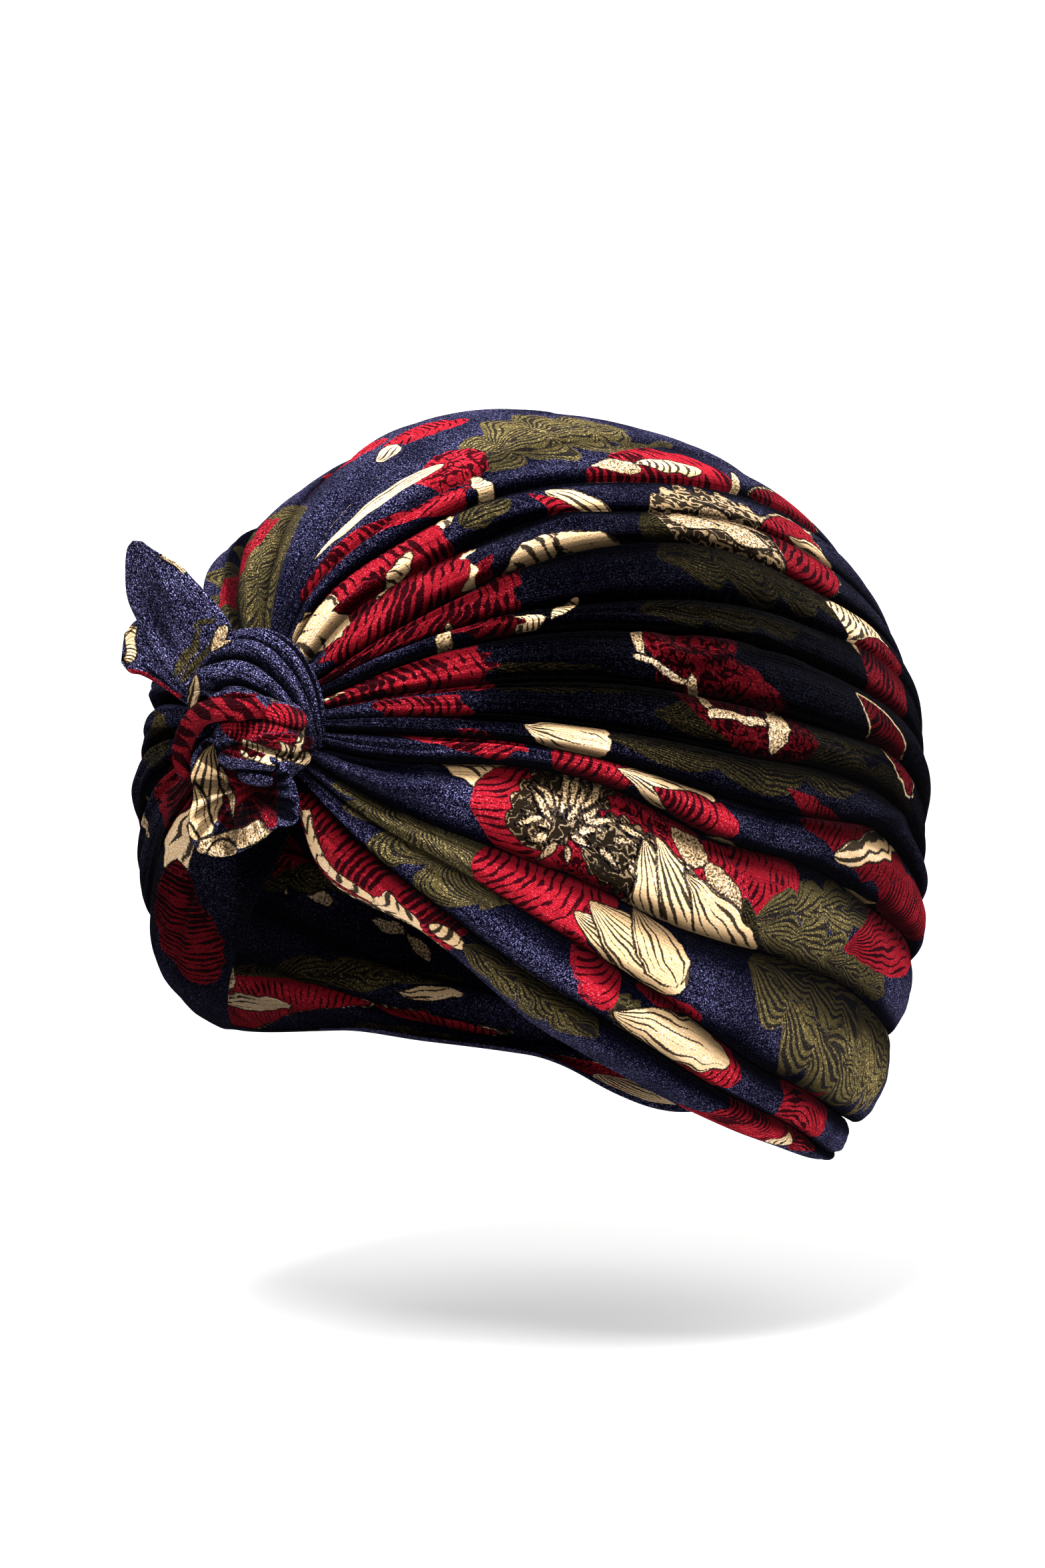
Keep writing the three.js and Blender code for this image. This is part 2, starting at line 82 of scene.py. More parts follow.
RIGHT_FOLDS = [
    ("top", (104, 112, 116, 118), (1.5, 2, 2.5, 2), 26),
    ("upper", (124, 131, 134, 136), (2.5, 3.5, 4, 3.5), 22),
    ("upper_side", (142, 147, 149, 150), (3, 4, 4.5, 4), 20),
    ("side", (157, 161, 162, 162), (3, 5, 5.5, 5), 18),
    ("lower_side", (170, 174, 173, 172), (3, 4.5, 5, 4.5), 18),
    ("low", (184, 187, 183, 181), (3, 4.5, 4.5, 4), 18),
    ("lowest", (199, 200, 192, 189), (3, 4, 4, 3.5), 18),
    ("hem", (217, 215, 201, 196), (2.5, 3.5, 4, 3.5), 18),
]
RIGHT_RIM_LINES = 22
# Rims: place along the cloth and fold angle in degrees, and the share drawn in
LEFT_RIM = [
    (9, -70, 0.16), (16, -68, 0.16), (24, -53, 0.17), (30, -45, 0.18), (38, -41, 0.18),
    (55, -38.5, 0.165), (66, -36, 0.15), (79, -34, 0.13), (100, -31.5, 0.09),
    (118, -30, 0.06), (142, -30, 0.03), (180, -34, 0),
]
RIGHT_RIM = [
    (9, 248, 0.16), (31, 235, 0.16), (54, 227, 0.14), (70, 216, 0.14), (100, 204.5, 0.145),
    (120, 201, 0.12), (140, 199, 0.08), (156, 200.5, 0.04), (168, 206, 0.01), (180, 214, 0),
]
RIGHT_RIM_CURL = 1.4

# Helpers

def ease(x):
    """A smooth rise from 0 to 1, as x goes from 0 to 1."""
    x = np.clip(x, 0.0, 1.0)
    return x * x * (3.0 - 2.0 * x)


def mix(a, b, t):
    """The value that lies a share t of the way from a to b."""
    return a + (b - a) * t


def unit(vectors):
    """The same directions with a length of 1."""
    return vectors / np.linalg.norm(vectors, axis=-1, keepdims=True)


def turns(count):
    """Angles once round, as a row."""
    return np.linspace(0, 2 * np.pi, count, endpoint=False)[None]


def through(xs, ys, x):
    """A smooth line through the values ys at the places xs."""
    xs, ys = np.asarray(xs, float), np.asarray(ys, float)
    x = np.clip(np.asarray(x, float), xs[0], xs[-1])
    slope = np.zeros(len(xs))
    slope[1:-1] = (ys[2:] - ys[:-2]) / (xs[2:] - xs[:-2])
    k = np.clip(np.searchsorted(xs, x, side="right") - 1, 0, len(xs) - 2)
    span = xs[k + 1] - xs[k]
    t = (x - xs[k]) / span
    curve = t * t * (3 - 2 * t) * (ys[k + 1] - ys[k])
    lead = t * (1 - t) ** 2 * slope[k] * span
    tail = t * t * (t - 1) * slope[k + 1] * span
    return ys[k] + curve + lead + tail


class Wander:
    """Seeded smooth noise from -1 to 1 over two coordinates."""

    def __init__(self, seed, size=64):
        self.size = size
        self.grid = np.random.default_rng(seed).uniform(-1, 1, (size, size))

    def __call__(self, x, y):
        x, y = np.broadcast_arrays(np.asarray(x, float), np.asarray(y, float))
        i, j = np.floor(x).astype(int), np.floor(y).astype(int)
        u, v = ease(x - i), ease(y - j)
        n, g = self.size, self.grid
        low = mix(g[i % n, j % n], g[(i + 1) % n, j % n], u)
        high = mix(g[i % n, (j + 1) % n], g[(i + 1) % n, (j + 1) % n], u)
        return mix(low, high, v)


# The view: photograph pixels to millimetres and back

turn, rise = math.radians(VIEW_TURN), math.radians(VIEW_RISE)
VIEW_BACK = np.array([
    math.sin(turn) * math.cos(rise), -math.cos(turn) * math.cos(rise), math.sin(rise)])
VIEW_RIGHT = np.array([math.cos(turn), math.sin(turn), 0.0])
VIEW_UP = np.cross(VIEW_BACK, VIEW_RIGHT)
PIXELS_PER_MM = PHOTO_SIZE[1] / VIEW_HEIGHT


def to_pixels(points):
    """Where the photograph shows points that are given in millimetres."""
    offset = points - VIEW_TARGET
    scale = PIXELS_PER_MM * VIEW_DISTANCE / (VIEW_DISTANCE - offset @ VIEW_BACK)
    x = TARGET_PIXEL[0] + (offset @ VIEW_RIGHT) * scale
    y = TARGET_PIXEL[1] - (offset @ VIEW_UP) * scale
    return np.stack([x, y], -1)


# The crown's dome and the cloth on it

def dome_level(p):
    """Below 0 inside the crown's dome and above 0 outside it."""
    above = p[..., 2] - CROWN_LEVEL
    upper = 1 - np.clip(above / CROWN_RISE, 0, 1) ** 2
    drop = np.clip(-above / CROWN_DROP, 0, 0.999)
    lower = (1 - drop ** CROWN_DROP_POWER) ** (2 / CROWN_DROP_POWER)
    girth = np.maximum(np.where(above > 0, upper, lower), 1e-6)
    side = (p[..., 0] / np.where(p[..., 0] > 0, CROWN_LEFT, CROWN_RIGHT)) ** 2
    length = (p[..., 1] / np.where(p[..., 1] > 0, CROWN_BACK, CROWN_FRONT)) ** 2
    return (side + length) / girth - 1


REACH_HALVINGS = 26


def cloth_point(angle, along, draw_in, proud):
    """A point of the cloth, by its fold angle and its place along the fold."""
    low = math.sin(math.radians(SEAM_LOW_ANGLE))
    a, t = np.radians(angle), np.radians(along)
    share = np.clip((np.sin(a) + low) / (1 + low), 0, 1)
    seam = np.zeros(np.shape(angle) + (3,))
    seam[..., 1] = SEAM_BACK
    seam[..., 2] = mix(SEAM_LOW, SEAM_HIGH, share)
    middle = (GATHER + seam) / 2
    axis = unit(seam - GATHER)
    up = unit(np.stack([np.zeros_like(axis[..., 0]), -axis[..., 2], axis[..., 1]], -1))
    outward = np.sin(a)[..., None] * up
    outward[..., 0] += np.cos(a)
    direction = unit(-np.cos(t)[..., None] * axis + np.sin(t)[..., None] * outward)
    inside = np.ones(np.shape(angle))
    outside = np.full(np.shape(angle), 2 * CROWN_DROP)
    for _ in range(REACH_HALVINGS):
        half = (inside + outside) / 2
        held = dome_level(middle + direction * half[..., None]) < 0
        inside, outside = np.where(held, half, inside), np.where(held, outside, half)
    near_knot = 1 - ease((along - ALONG_START) / (GATHER_DIMPLE_END - ALONG_START))
    reach = inside * (1 - draw_in - GATHER_DIMPLE * near_knot) + proud
    return middle + direction * reach[..., None]


# Lines of cloth from the left rim, over the crown, to the right rim

def rim_line(rows, column):
    """A column of a rim's table, as a smooth line along the cloth."""
    places = [row[0] for row in rows]
    values = [row[column] for row in rows]
    return lambda along: through(places, values, along)


edges = [(rim_line(LEFT_RIM, 1), lambda along: 0 * along, 0)]
for name, angles, depths, lines in LEFT_FOLDS + RIGHT_FOLDS:
    edges.append((
        lambda along, angles=angles: through(FOLD_STATIONS, angles, along),
        lambda along, depths=depths: through(FOLD_STATIONS, depths, along),
        lines))
edges.append((rim_line(RIGHT_RIM, 1), lambda along: 0 * along, RIGHT_RIM_LINES))
PLEATS = len(edges) - 1
LEFT_PLEATS = len(LEFT_FOLDS)


def pleat_lines(pleat, scale):
    """The shares of a pleat at which its lines of cloth lie."""
    count = max(4, int(round(edges[pleat + 1][2] * scale)))
    even = np.arange(count + 1) / count
    return mix(even, ease(even), 0.45)


fine_folds = Wander(11)
broad_folds = Wander(23)
sway_folds = Wander(31)
FOLD_LEAN, DEPTH_SCALE, FOLD_SWAY = 0.68, 1.25, 1.3


def fold_ridge(share, along):
    """A pleat's section from crease to crease: 0 in the crease, 1 on the ridge."""
    roundness = mix(0.52, 0.32, ease((along - 30) / 50))
    return np.sin(np.pi * np.clip(share, 0, 1) ** FOLD_LEAN) ** roundness


def seam_share(along):
    """0 over most of the cloth, rising to 1 at the seam."""
    return ease((along - SEAM_FADE_START) / (ALONG_END - SEAM_FADE_START))


def smooth_rows(rows, count):
    """Rows of a table, made finer by smooth lines through each column."""
    rows = np.asarray(rows, float)
    at = np.linspace(0, len(rows) - 1, count)
    padded = np.vstack([2 * rows[0] - rows[1], rows, 2 * rows[-1] - rows[-2]])
    k = np.clip(at.astype(int), 0, len(rows) - 2)
    t = (at - k)[:, None]
    a, b, c, d = padded[k], padded[k + 1], padded[k + 2], padded[k + 3]
    return 0.5 * (2 * b + (c - a) * t + (2 * a - 5 * b + 4 * c - d) * t ** 2
                  + (3 * b - a - 3 * c + d) * t ** 3)


def edge_angle(k, along):
    """A crease's fold angle, which sways a little along the crease."""
    if k in (0, PLEATS):
        return edges[k][0](along)
    free = ease((along - 20) / 35) * (1 - ease((along - 130) / 30))
    return edges[k][0](along) + FOLD_SWAY * free * sway_folds(k * 3.7, along / 22.0)


def partner_angle(pleat, share):
    """Where a fold of the right side ends at the seam, opposite one of the left."""
    place = (pleat - LEFT_PLEATS + share) / (PLEATS - LEFT_PLEATS)
    low = LEFT_RIM[-1][1]
    return 180 - mix(90.0, low, np.clip(place, 0, 1))


def wrap_angle(pleat, share, along):
    """The fold angle of each line of cloth, on rows shared by all lines."""
    angle = np.zeros(along.shape)
    for k in range(PLEATS):
        mine = np.broadcast_to(pleat, along.shape)[:, 0] == k
        if mine.any():
            part = along[mine]
            t = np.broadcast_to(share, along.shape)[mine]
            angle[mine] = mix(edge_angle(k, part), edge_angle(k + 1, part), t)
    seam = seam_share(along)
    ends = partner_angle(pleat, share)
    return np.where(pleat >= LEFT_PLEATS, mix(angle, ends, seam), angle)


# Small ropes of gathered cloth that the photograph shows: width px, height mm, path px
# A height below 0 is a groove
ROPES = [
    (11, 3.0, [(470, 1142), (520, 1160), (590, 1182), (632, 1184), (646, 1166), (630, 1148)]),
    (8, 1.8, [(500, 1130), (560, 1146), (620, 1142)]),
    (8, 2.0, [(540, 1168), (585, 1192), (610, 1222), (616, 1250)]),
    (12, 2.3, [(965, 950), (1010, 982), (1060, 990), (1120, 972)]),
    (11, 2.0, [(1010, 936), (1060, 962), (1130, 958), (1200, 990)]),
    (12, 2.4, [(1140, 1200), (1200, 1226), (1270, 1238), (1350, 1226)]),
    (14, -1.6, [(1120, 1240), (1180, 1262), (1250, 1268)]),
    (9, 1.0, [(660, 1180), (760, 1236), (860, 1280)]),
    (10, 1.2, [(620, 900), (720, 868), (830, 856)]),
    (10, 1.0, [(520, 1010), (620, 985), (760, 975)]),
    (12, 1.2, [(700, 790), (820, 770), (960, 800)]),
    (46, 2.4, [(520, 690), (600, 656), (680, 632), (760, 624), (840, 632)]),
    (9, -1.6, [(600, 770), (720, 716), (860, 690), (1000, 712)]),
    (8, -1.4, [(640, 850), (760, 800), (900, 790), (1060, 812)]),
    (9, -1.3, [(880, 900), (1000, 884), (1150, 905), (1260, 960)]),
    (8, -1.2, [(840, 1010), (960, 1010), (1100, 1040), (1230, 1100)]),
    (9, 1.2, [(1080, 1080), (1180, 1100), (1290, 1150)]),
    (8, -1.2, [(960, 1240), (1100, 1290), (1240, 1330)]),
    (10, 1.1, [(1180, 1420), (1260, 1470), (1330, 1500)]),
    (9, -1.4, [(1060, 1560), (1160, 1620), (1240, 1650)]),
    (10, 1.0, [(760, 1010), (900, 1016), (1040, 1046)]),
]


ROPE_DEPTH = 50.0


def rope_lift(points):
    """How far the ropes lift the cloth on the side that the photograph shows."""
    pixels = to_pixels(points)
    depth = points @ VIEW_BACK
    near = depth > -ROPE_DEPTH
    lift = np.zeros(points.shape[:2])
    for width, height, path in ROPES:
        path = smooth_rows(path, 8 * len(path))
        low, high = path.min(0) - 3 * width, path.max(0) + 3 * width
        held = near & ((pixels > low) & (pixels < high)).all(-1)
        if not held.any():
            continue
        miss = pixels[held][:, None] - path[None]
        away = np.sqrt((miss ** 2).sum(-1))
        at = away.argmin(1) / (len(path) - 1)
        ends = np.sin(np.pi * np.clip(at, 0.02, 0.98)) ** 0.4
        swell = np.exp(-(away.min(1) / width) ** 2) * ends
        lift[held] += height * swell * ease((depth[held] + ROPE_DEPTH) / ROPE_DEPTH)
    return lift


def wrap_grid(rows, scale, wall=0.0):
    """The cloth over all pleats: points (line, row, 3), pleat, share, along and the painted shade
    of its creases.
    """
    line_pleat, line_share = [], []
    for pleat in range(PLEATS):
        shares = pleat_lines(pleat, scale)
        if pleat != PLEATS - 1:
            shares = shares[:-1]
        line_pleat += [pleat] * len(shares)
        line_share += list(shares)
    pleat = np.array(line_pleat)[:, None]
    share = np.array(line_share)[:, None]
    along = np.broadcast_to(rows[None, :], (len(line_pleat), len(rows)))
    valley = np.zeros(along.shape)
    spread = np.zeros(along.shape)
    for k in range(PLEATS):
        mine = np.array(line_pleat) == k
        low, high = edges[k], edges[k + 1]
        valley[mine] = mix(low[1](rows)[None], high[1](rows)[None], share[mine])
        spread[mine] = np.abs(high[0](rows) - low[0](rows))[None]
    seam = seam_share(along)
    angle = wrap_angle(pleat, share, along)
    radius = CROWN_LEFT * np.sin(np.radians(np.minimum(along, 90)))
    width = np.radians(spread) * radius
    ridge = fold_ridge(share, along)
    fade = 1 - seam
    place = pleat + share
    wave = broad_folds(place * 1.3, along / 23.0) * 0.9 * ease((along - 15) / 30)
    gather = 1 - ease((along - 12) / 55)
    crease = fine_folds(place * 5.1, along / 34.0) * (0.35 + 0.95 * gather)
    crease += fine_folds(place * 11.7 + 40, along / 17.0) * (0.12 + 0.60 * gather)
    groove = np.exp(-(fine_folds(place * 3.3 + 70, along / 47.0) / 0.15) ** 2)
    groove = groove * (0.25 + 0.75 * fine_folds(place * 1.9 + 9, along / 31.0) ** 2)
    crease -= groove * (0.55 + 1.5 * gather) * ease((along - 3) / 6)
    fullness = np.clip(0.75 + 0.7 * sway_folds(pleat * 5.3 + 11, along / 26.0), 0.25, 1.3)
    crown = ease((pleat - 7) / 3.0) * (1 - ease((pleat - 19) / 4.0)) * ease((along - 25) / 40)
    fullness = fullness * (1 - 0.55 * crown)
    valley = valley * (1 - 0.35 * crown)
    lift = (RIDGE_SWELL * width * fullness * ridge - DEPTH_SCALE * valley * (1 - ridge)) * fade
    lift = lift + (wave * (0.3 + 0.7 * ridge) + crease) * (0.25 + 0.75 * fade)
    draw_in = np.zeros(along.shape)
    left_in, right_in = rim_line(LEFT_RIM, 2)(rows), rim_line(RIGHT_RIM, 2)(rows)
    draw_in = np.where(pleat == 0, left_in[None] * (1 - share) ** 2, draw_in)
    draw_in = np.where(
        pleat == PLEATS - 1, right_in[None] * share ** RIGHT_RIM_CURL, draw_in)
    if not wall:
        lift = lift + rope_lift(cloth_point(angle, along, draw_in, lift))
    points = cloth_point(angle, along, draw_in, lift - wall)
    # Painted shade: darker towards the creases of deeper folds and in grooves, fading out at the
    # seam
    low = 1 - np.sin(np.pi * np.clip(share, 0, 1) ** FOLD_LEAN) ** 1.2
    crease_shade = np.clip(low * (0.25 + 0.75 * ease(valley / 3.5)) + 0.35 * groove, 0, 1) * fade
    return points, pleat + 0 * along, share + 0 * along, along, crease_shade


def along_rows(count):
    """Places along the cloth, closer together near the gather."""
    even = np.arange(count + 1) / count
    return ALONG_START + (ALONG_END - ALONG_START) * mix(even, even ** 1.6, 0.55)


# The print, drawn in cloth coordinates

# Distances into a shape are kept between these, in mm
NOTHING_NEAR, WELL_INSIDE = -9.0, 9.0
# Cloth that faces the camera less than this is hidden, and counts as so many pixels off
SEEN_FACING, HIDDEN_MISS = 0.03, 400
# Points that miss a pixel by no more than this beyond the nearest are all at that pixel
SAME_PLACE = 3


class Sheet:
    """A grid of cloth: its points, its cloth coordinates and the shapes printed on it.

    The first axis of each array runs across the cloth and the second along it.
    Each colour holds the distance in mm into its shapes; lines hold a phase and a weight. The
    tone also holds painted light and shade, and the crease shade is painted shade in the folds.
    """

    def __init__(self, points, down, across, pleat=None, turned=False, crease_shade=None):
        self.points, self.down, self.across = points, down, across
        self.pleat = pleat
        self.threads = across
        self.crease_shade = np.zeros(down.shape) if crease_shade is None else crease_shade
        self.colours = {
            name: np.full(down.shape, NOTHING_NEAR) for name in ("olive", "red", "cream")}
        self.phase = np.zeros(down.shape)
        self.weight = np.zeros(down.shape)
        self.tone = np.ones(down.shape)
        self.turned = turned
        self.pixels = to_pixels(points)
        sight = unit(VIEW_TARGET + VIEW_BACK * VIEW_DISTANCE - points)
        self.facing = (self.normals() * sight).sum(-1)
        self.nearness = points @ VIEW_BACK

    def normals(self):
        """Unit vectors out of the face of the cloth."""
        normal = np.cross(np.gradient(self.points, axis=0), np.gradient(self.points, axis=1))
        normal /= np.maximum(np.linalg.norm(normal, axis=-1, keepdims=True), 1e-9)
        return -normal if self.turned else normal

    def layers(self, part=(slice(None), slice(None))):
        """What the material reads at each point of the mesh."""
        groups = {
            "shape": (self.colours["olive"], self.colours["red"], self.colours["cream"]),
            "drawn": (self.phase, self.weight, self.tone),
            "weave_and_shade": (self.down, self.threads, self.crease_shade)}
        return {
            name: np.stack([field[part] for field in fields], -1).reshape(-1, 3)
            for name, fields in groups.items()}

    def window(self, a, b, margin):
        """The lines and rows that lie within a margin of the box between two places."""
        low, high = np.minimum(a, b) - margin, np.maximum(a, b) + margin
        lines = (self.across.max(1) >= low[1]) & (self.across.min(1) <= high[1])
        rows = (self.down.max(0) >= low[0]) & (self.down.min(0) <= high[0])
        if not lines.any() or not rows.any():
            return None
        lines, rows = np.where(lines)[0], np.where(rows)[0]
        return slice(lines[0], lines[-1] + 1), slice(rows[0], rows[-1] + 1)

    def find(self, pixel):
        """The point of the cloth that the photograph shows at a pixel."""
        miss = np.hypot(self.pixels[..., 0] - pixel[0], self.pixels[..., 1] - pixel[1])
        miss = miss + np.where(self.facing > SEEN_FACING, 0, HIDDEN_MISS)
        near = miss < miss.min() + SAME_PLACE
        return np.unravel_index(np.argmax(np.where(near, self.nearness, -1e9)), miss.shape)

    def place(self, pixel):
        """The same in cloth coordinates: along and across."""
        index = self.find(pixel)
        return np.array([self.down[index], self.across[index]])

    def cloth_step(self, index, pixel_step):
        """A step on the photograph as a step along and across the cloth."""
        i, j = index
        i = min(max(i, 1), self.down.shape[0] - 2)
        j = min(max(j, 1), self.down.shape[1] - 2)
        px = self.pixels
        across = (px[i + 1, j] - px[i - 1, j]) / (self.across[i + 1, j] - self.across[i - 1, j])
        down = (px[i, j + 1] - px[i, j - 1]) / (self.down[i, j + 1] - self.down[i, j - 1])
        return np.linalg.lstsq(np.stack([down, across], -1), pixel_step, rcond=0.05)[0]


wobble = Wander(7)
EDGE_WANDER = 0.7


def outline(form, x, half):
    """Half the width of a form, from its root at x = 0 to its tip at x = 1."""
    inside = np.clip(x, 0.0, 1.0)
    if form == "oval":
        return half * np.sqrt(np.maximum(1 - (2 * inside - 1) ** 2, 0))
    if form == "petal":
        scallop = 1 - 0.12 * np.abs(np.sin(5.3 * np.pi * inside)) * ease(3 * inside - 1)
        return half * np.sin(np.pi * inside ** 1.35) ** 0.6 * scallop
    if form == "flame":
        return half * np.sin(np.pi * inside ** 0.6) ** 1.1
    if form == "strip":
        return half * np.clip(np.minimum(inside, 1 - inside) * 14, 0, 1) ** 0.5
    if form == "leaf":
        envelope = np.sin(np.pi * inside ** 0.85) ** 0.55
        return half * envelope * (0.5 + 0.5 * np.abs(np.sin(4.2 * np.pi * inside)) ** 0.7)
    envelope = np.sqrt(np.maximum(1 - (2 * inside - 1) ** 2, 0))
    return half * envelope * (0.8 + 0.2 * np.abs(np.sin(7 * np.pi * inside)))


LINE_WEIGHT = {
    "none": 0.0, "long": 0.33, "cross": 0.42, "hatch": 0.66, "ring": 0.28, "vein": 0.44,
    "mottle": 0.50, "stipple": 0.72}


def lines_of(kind, spacing, x, y, width, half, length, sd, seed):
    """The phase and the weight of the lines drawn inside a form."""
    weight = LINE_WEIGHT[kind]
    down = x * length
    relative = y / np.maximum(width, 0.3)
    sway = wobble(down / 5.3 + seed, y / 3.7)
    if kind == "long":
        phase = relative * max(half / spacing, 1.0) + 0.3 * np.sin(4 * x + seed) + 0.5
        phase = phase + 0.30 * wobble(down / 11.0 + seed, y / 6.0)
        own = wobble(np.round(phase) * 3.7 + seed, down / 9.0)
        weight = weight * np.clip(1.5 - 1.5 * x + 1.1 * own, 0.0, 1.9)
    elif kind in ("cross", "hatch"):
        phase = (down + 0.45 * y * y / max(half, 1)) / spacing + 0.20 * sway
        shade = wobble(down / 6.1 + seed + 5, y / 4.1)
        own = wobble(np.round(phase) * 3.7 + seed, y / 3.3)
        weight = weight * np.clip(0.75 + 0.7 * shade + 0.8 * own + 0.5 * (0.5 - x), 0.0, 1.8)
    elif kind == "ring":
        phase = sd / spacing + 0.2 * sway
    elif kind == "vein":
        barb = 0.42 * down - 1.15 * half * np.abs(relative) ** 0.8
        phase = barb / spacing + 0.75 * wobble(down / 9.0 + seed, y / 6.0) + 0.15 * sway
        own = wobble(np.round(phase) * 3.7 + seed, y / 5.0)
        weight = weight + 0.5 * np.clip(1 - np.abs(y) / 0.5, 0, 1) + 0.35 * own
    elif kind == "mottle":
        coarse = wobble(down / 1.7 + seed, y / 1.5)
        phase = 0.9 * (coarse + 0.5 * wobble(down / 0.8, y / 0.8 + seed))
        weight = weight + 0.25 * sway
    elif kind == "stipple":
        phase = 0.8 * wobble(down / 1.3 + seed, y / 1.1) + y / (2.6 * spacing)
        weight = weight + 0.3 * sway
    else:
        phase = np.zeros_like(x)
    return phase, weight


# How much dark ground shows between two shapes of one colour, in mm
SHAPE_GAP = {"olive": 0.45, "red": 0.35, "cream": 0.40}


def lay(sheet, part, colour, sd):
    """Prints a shape over what is there already."""
    for name, field in sheet.colours.items():
        if name == colour:
            apart = np.minimum(field[part], -(sd + SHAPE_GAP[colour]))
            field[part] = np.maximum(apart, sd)
        else:
            field[part] = np.minimum(field[part], -sd)


def draw(sheet, colour, form, root, tip, half, lines, spacing, rim, tone,
         pleats=None):
    """Prints one shape from root to tip, both given in cloth coordinates."""
    root, tip = np.asarray(root, float), np.asarray(tip, float)
    part = sheet.window(root, tip, half + rim + 10)
    if part is None:
        return
    axis = tip - root
    length = max(np.hypot(*axis), 1e-3)
    axis = axis / length
    down, across = sheet.down[part] - root[0], sheet.across[part] - root[1]
    x = (down * axis[0] + across * axis[1]) / length
    y = -down * axis[1] + across * axis[0]
    seed = 3.1 * root[0] + 1.7 * root[1]
    y = y + EDGE_WANDER * wobble(seed + x * length / 4.1, y / 7.0)
    x = x + EDGE_WANDER * wobble(seed + 9 + x * length / 6.0, y / 4.3) / length
    swept = x
    if form == "leaf":
        swept = x - 0.3 * np.abs(y) / length
    if form == "strip":
        swept = x + 2.8 * wobble(seed + 3, y / 2.4) / length
    width = outline(form, swept, half)
    slope = (outline(form, swept + 0.01, half) - width) / (0.01 * length)
    sd = (width - np.abs(y)) / np.sqrt(1 + np.clip(slope, -3, 3) ** 2)
    past_end = np.maximum(-swept, swept - 1) * length
    sd = np.where(past_end > 0, -np.hypot(past_end, np.maximum(np.abs(y) - width, 0)), sd)
    if pleats is not None and sheet.pleat is not None:
        held = (sheet.pleat[part] >= pleats[0]) & (sheet.pleat[part] <= pleats[1])
        sd = np.where(held, sd, NOTHING_NEAR)
    sd = np.clip(sd, NOTHING_NEAR, WELL_INSIDE)
    if rim:
        lay(sheet, part, "cream", sd + rim)
    lay(sheet, part, colour, sd)
    phase, weight = lines_of(lines, spacing, x, y, width, half, length, sd, seed)
    covered = sd > -0.2 - rim
    fade = mix(0.8, 1.12, ease(x)) if colour == "red" else 1.0
    sheet.phase[part] = np.where(covered, phase, sheet.phase[part])
    sheet.weight[part] = np.where(covered, np.where(sd > 0, weight, 0.0), sheet.weight[part])
    sheet.tone[part] = np.where(
        covered, np.where(sd > 0, tone * fade, 1.0), sheet.tone[part])


def draw_seen(sheet, rows):
    """Prints shapes that the photograph shows, from rows of pixels."""
    for colour, form, root_px, tip_px, width_px, lines, spacing, rim, tone, *pleats in rows:
        root_px, tip_px = np.array(root_px, float), np.array(tip_px, float)
        root, tip = sheet.place(root_px), sheet.place(tip_px)
        middle = sheet.find((root_px + tip_px) / 2)
        run = tip_px - root_px
        sideways = np.array([-run[1], run[0]]) / np.hypot(*run) * width_px / 2
        step = sheet.cloth_step(middle, sideways)
        axis = (tip - root) / max(np.hypot(*(tip - root)), 1e-3)
        half = abs(step[1] * axis[0] - step[0] * axis[1])
        nominal = width_px / 2 / PIXELS_PER_MM
        half = 1.1 * float(np.clip(half, 0.9 * nominal, 2.4 * nominal))
        draw(sheet, colour, form, root, tip, half, lines, spacing, rim, tone, *pleats)


# One flower with its leaves: colour, form, turn deg, from and to in mm, half width in mm,
# lines, spacing mm, cream rim mm, tone
FLOWER = [
    ("olive", "leaf", 38, 10, 84, 17, "vein", 1.8, 0, 1.2),
    ("olive", "leaf", -14, 16, 80, 15, "vein", 1.8, 0, 1.0),
    ("olive", "leaf", 172, 12, 62, 15, "vein", 1.8, 0, 1.1),
    ("olive", "leaf", -96, 20, 66, 12, "vein", 1.8, 0, 0.9),
    ("red", "oval", 196, -4, 44, 18, "hatch", 2.6, 0, 0.95),
    ("red", "petal", 122, 2, 46, 15, "cross", 2.3, 0, 1.1),
    ("red", "petal", 250, 4, 42, 14, "cross", 2.4, 0, 1.0),
    ("red", "petal", -66, 8, 50, 11, "cross", 2.2, 0.8, 1.1),
    ("red", "petal", 66, 10, 50, 11, "long", 2.4, 0, 1.0),
    ("cream", "petal", 92, 6, 30, 6, "long", 2.4, 0, 0.95),
    ("cream", "petal", -34, 4, 50, 9, "long", 2.6, 0, 1.0),
    ("cream", "petal", 30, 4, 42, 8, "long", 2.6, 0, 0.9),
    ("cream", "petal", -6, 6, 58, 10, "long", 2.8, 0, 1.05),
    ("cream", "ruffle", 180, -9, 15, 12, "stipple", 1.1, 0, 0.28),
    ("cream", "flame", 140, 1, 13, 1.3, "none", 2.0, 0, 1.0),
    ("cream", "flame", 168, 1, 15, 1.2, "none", 2.0, 0, 1.0),
    ("cream", "flame", 196, 1, 14, 1.4, "none", 2.0, 0, 1.0),
    ("cream", "flame", 224, 1, 13, 1.2, "none", 2.0, 0, 1.0),
    ("cream", "flame", 262, 1, 10, 1.2, "none", 2.0, 0, 1.0),
    ("cream", "flame", 104, 1, 10, 1.2, "none", 2.0, 0, 1.0),
]


def draw_flower(sheet, down, across, turned, size):
    """Prints one flower with its leaves round a place on the cloth."""
    for colour, form, at, near, far, half, lines, spacing, rim, tone in FLOWER:
        a = math.radians(at + turned)
        way = np.array([math.cos(a), math.sin(a)]) * size
        centre = np.array([down, across])
        draw(sheet, colour, form, centre + way * near, centre + way * far, half * size,
             lines, spacing, rim, tone)
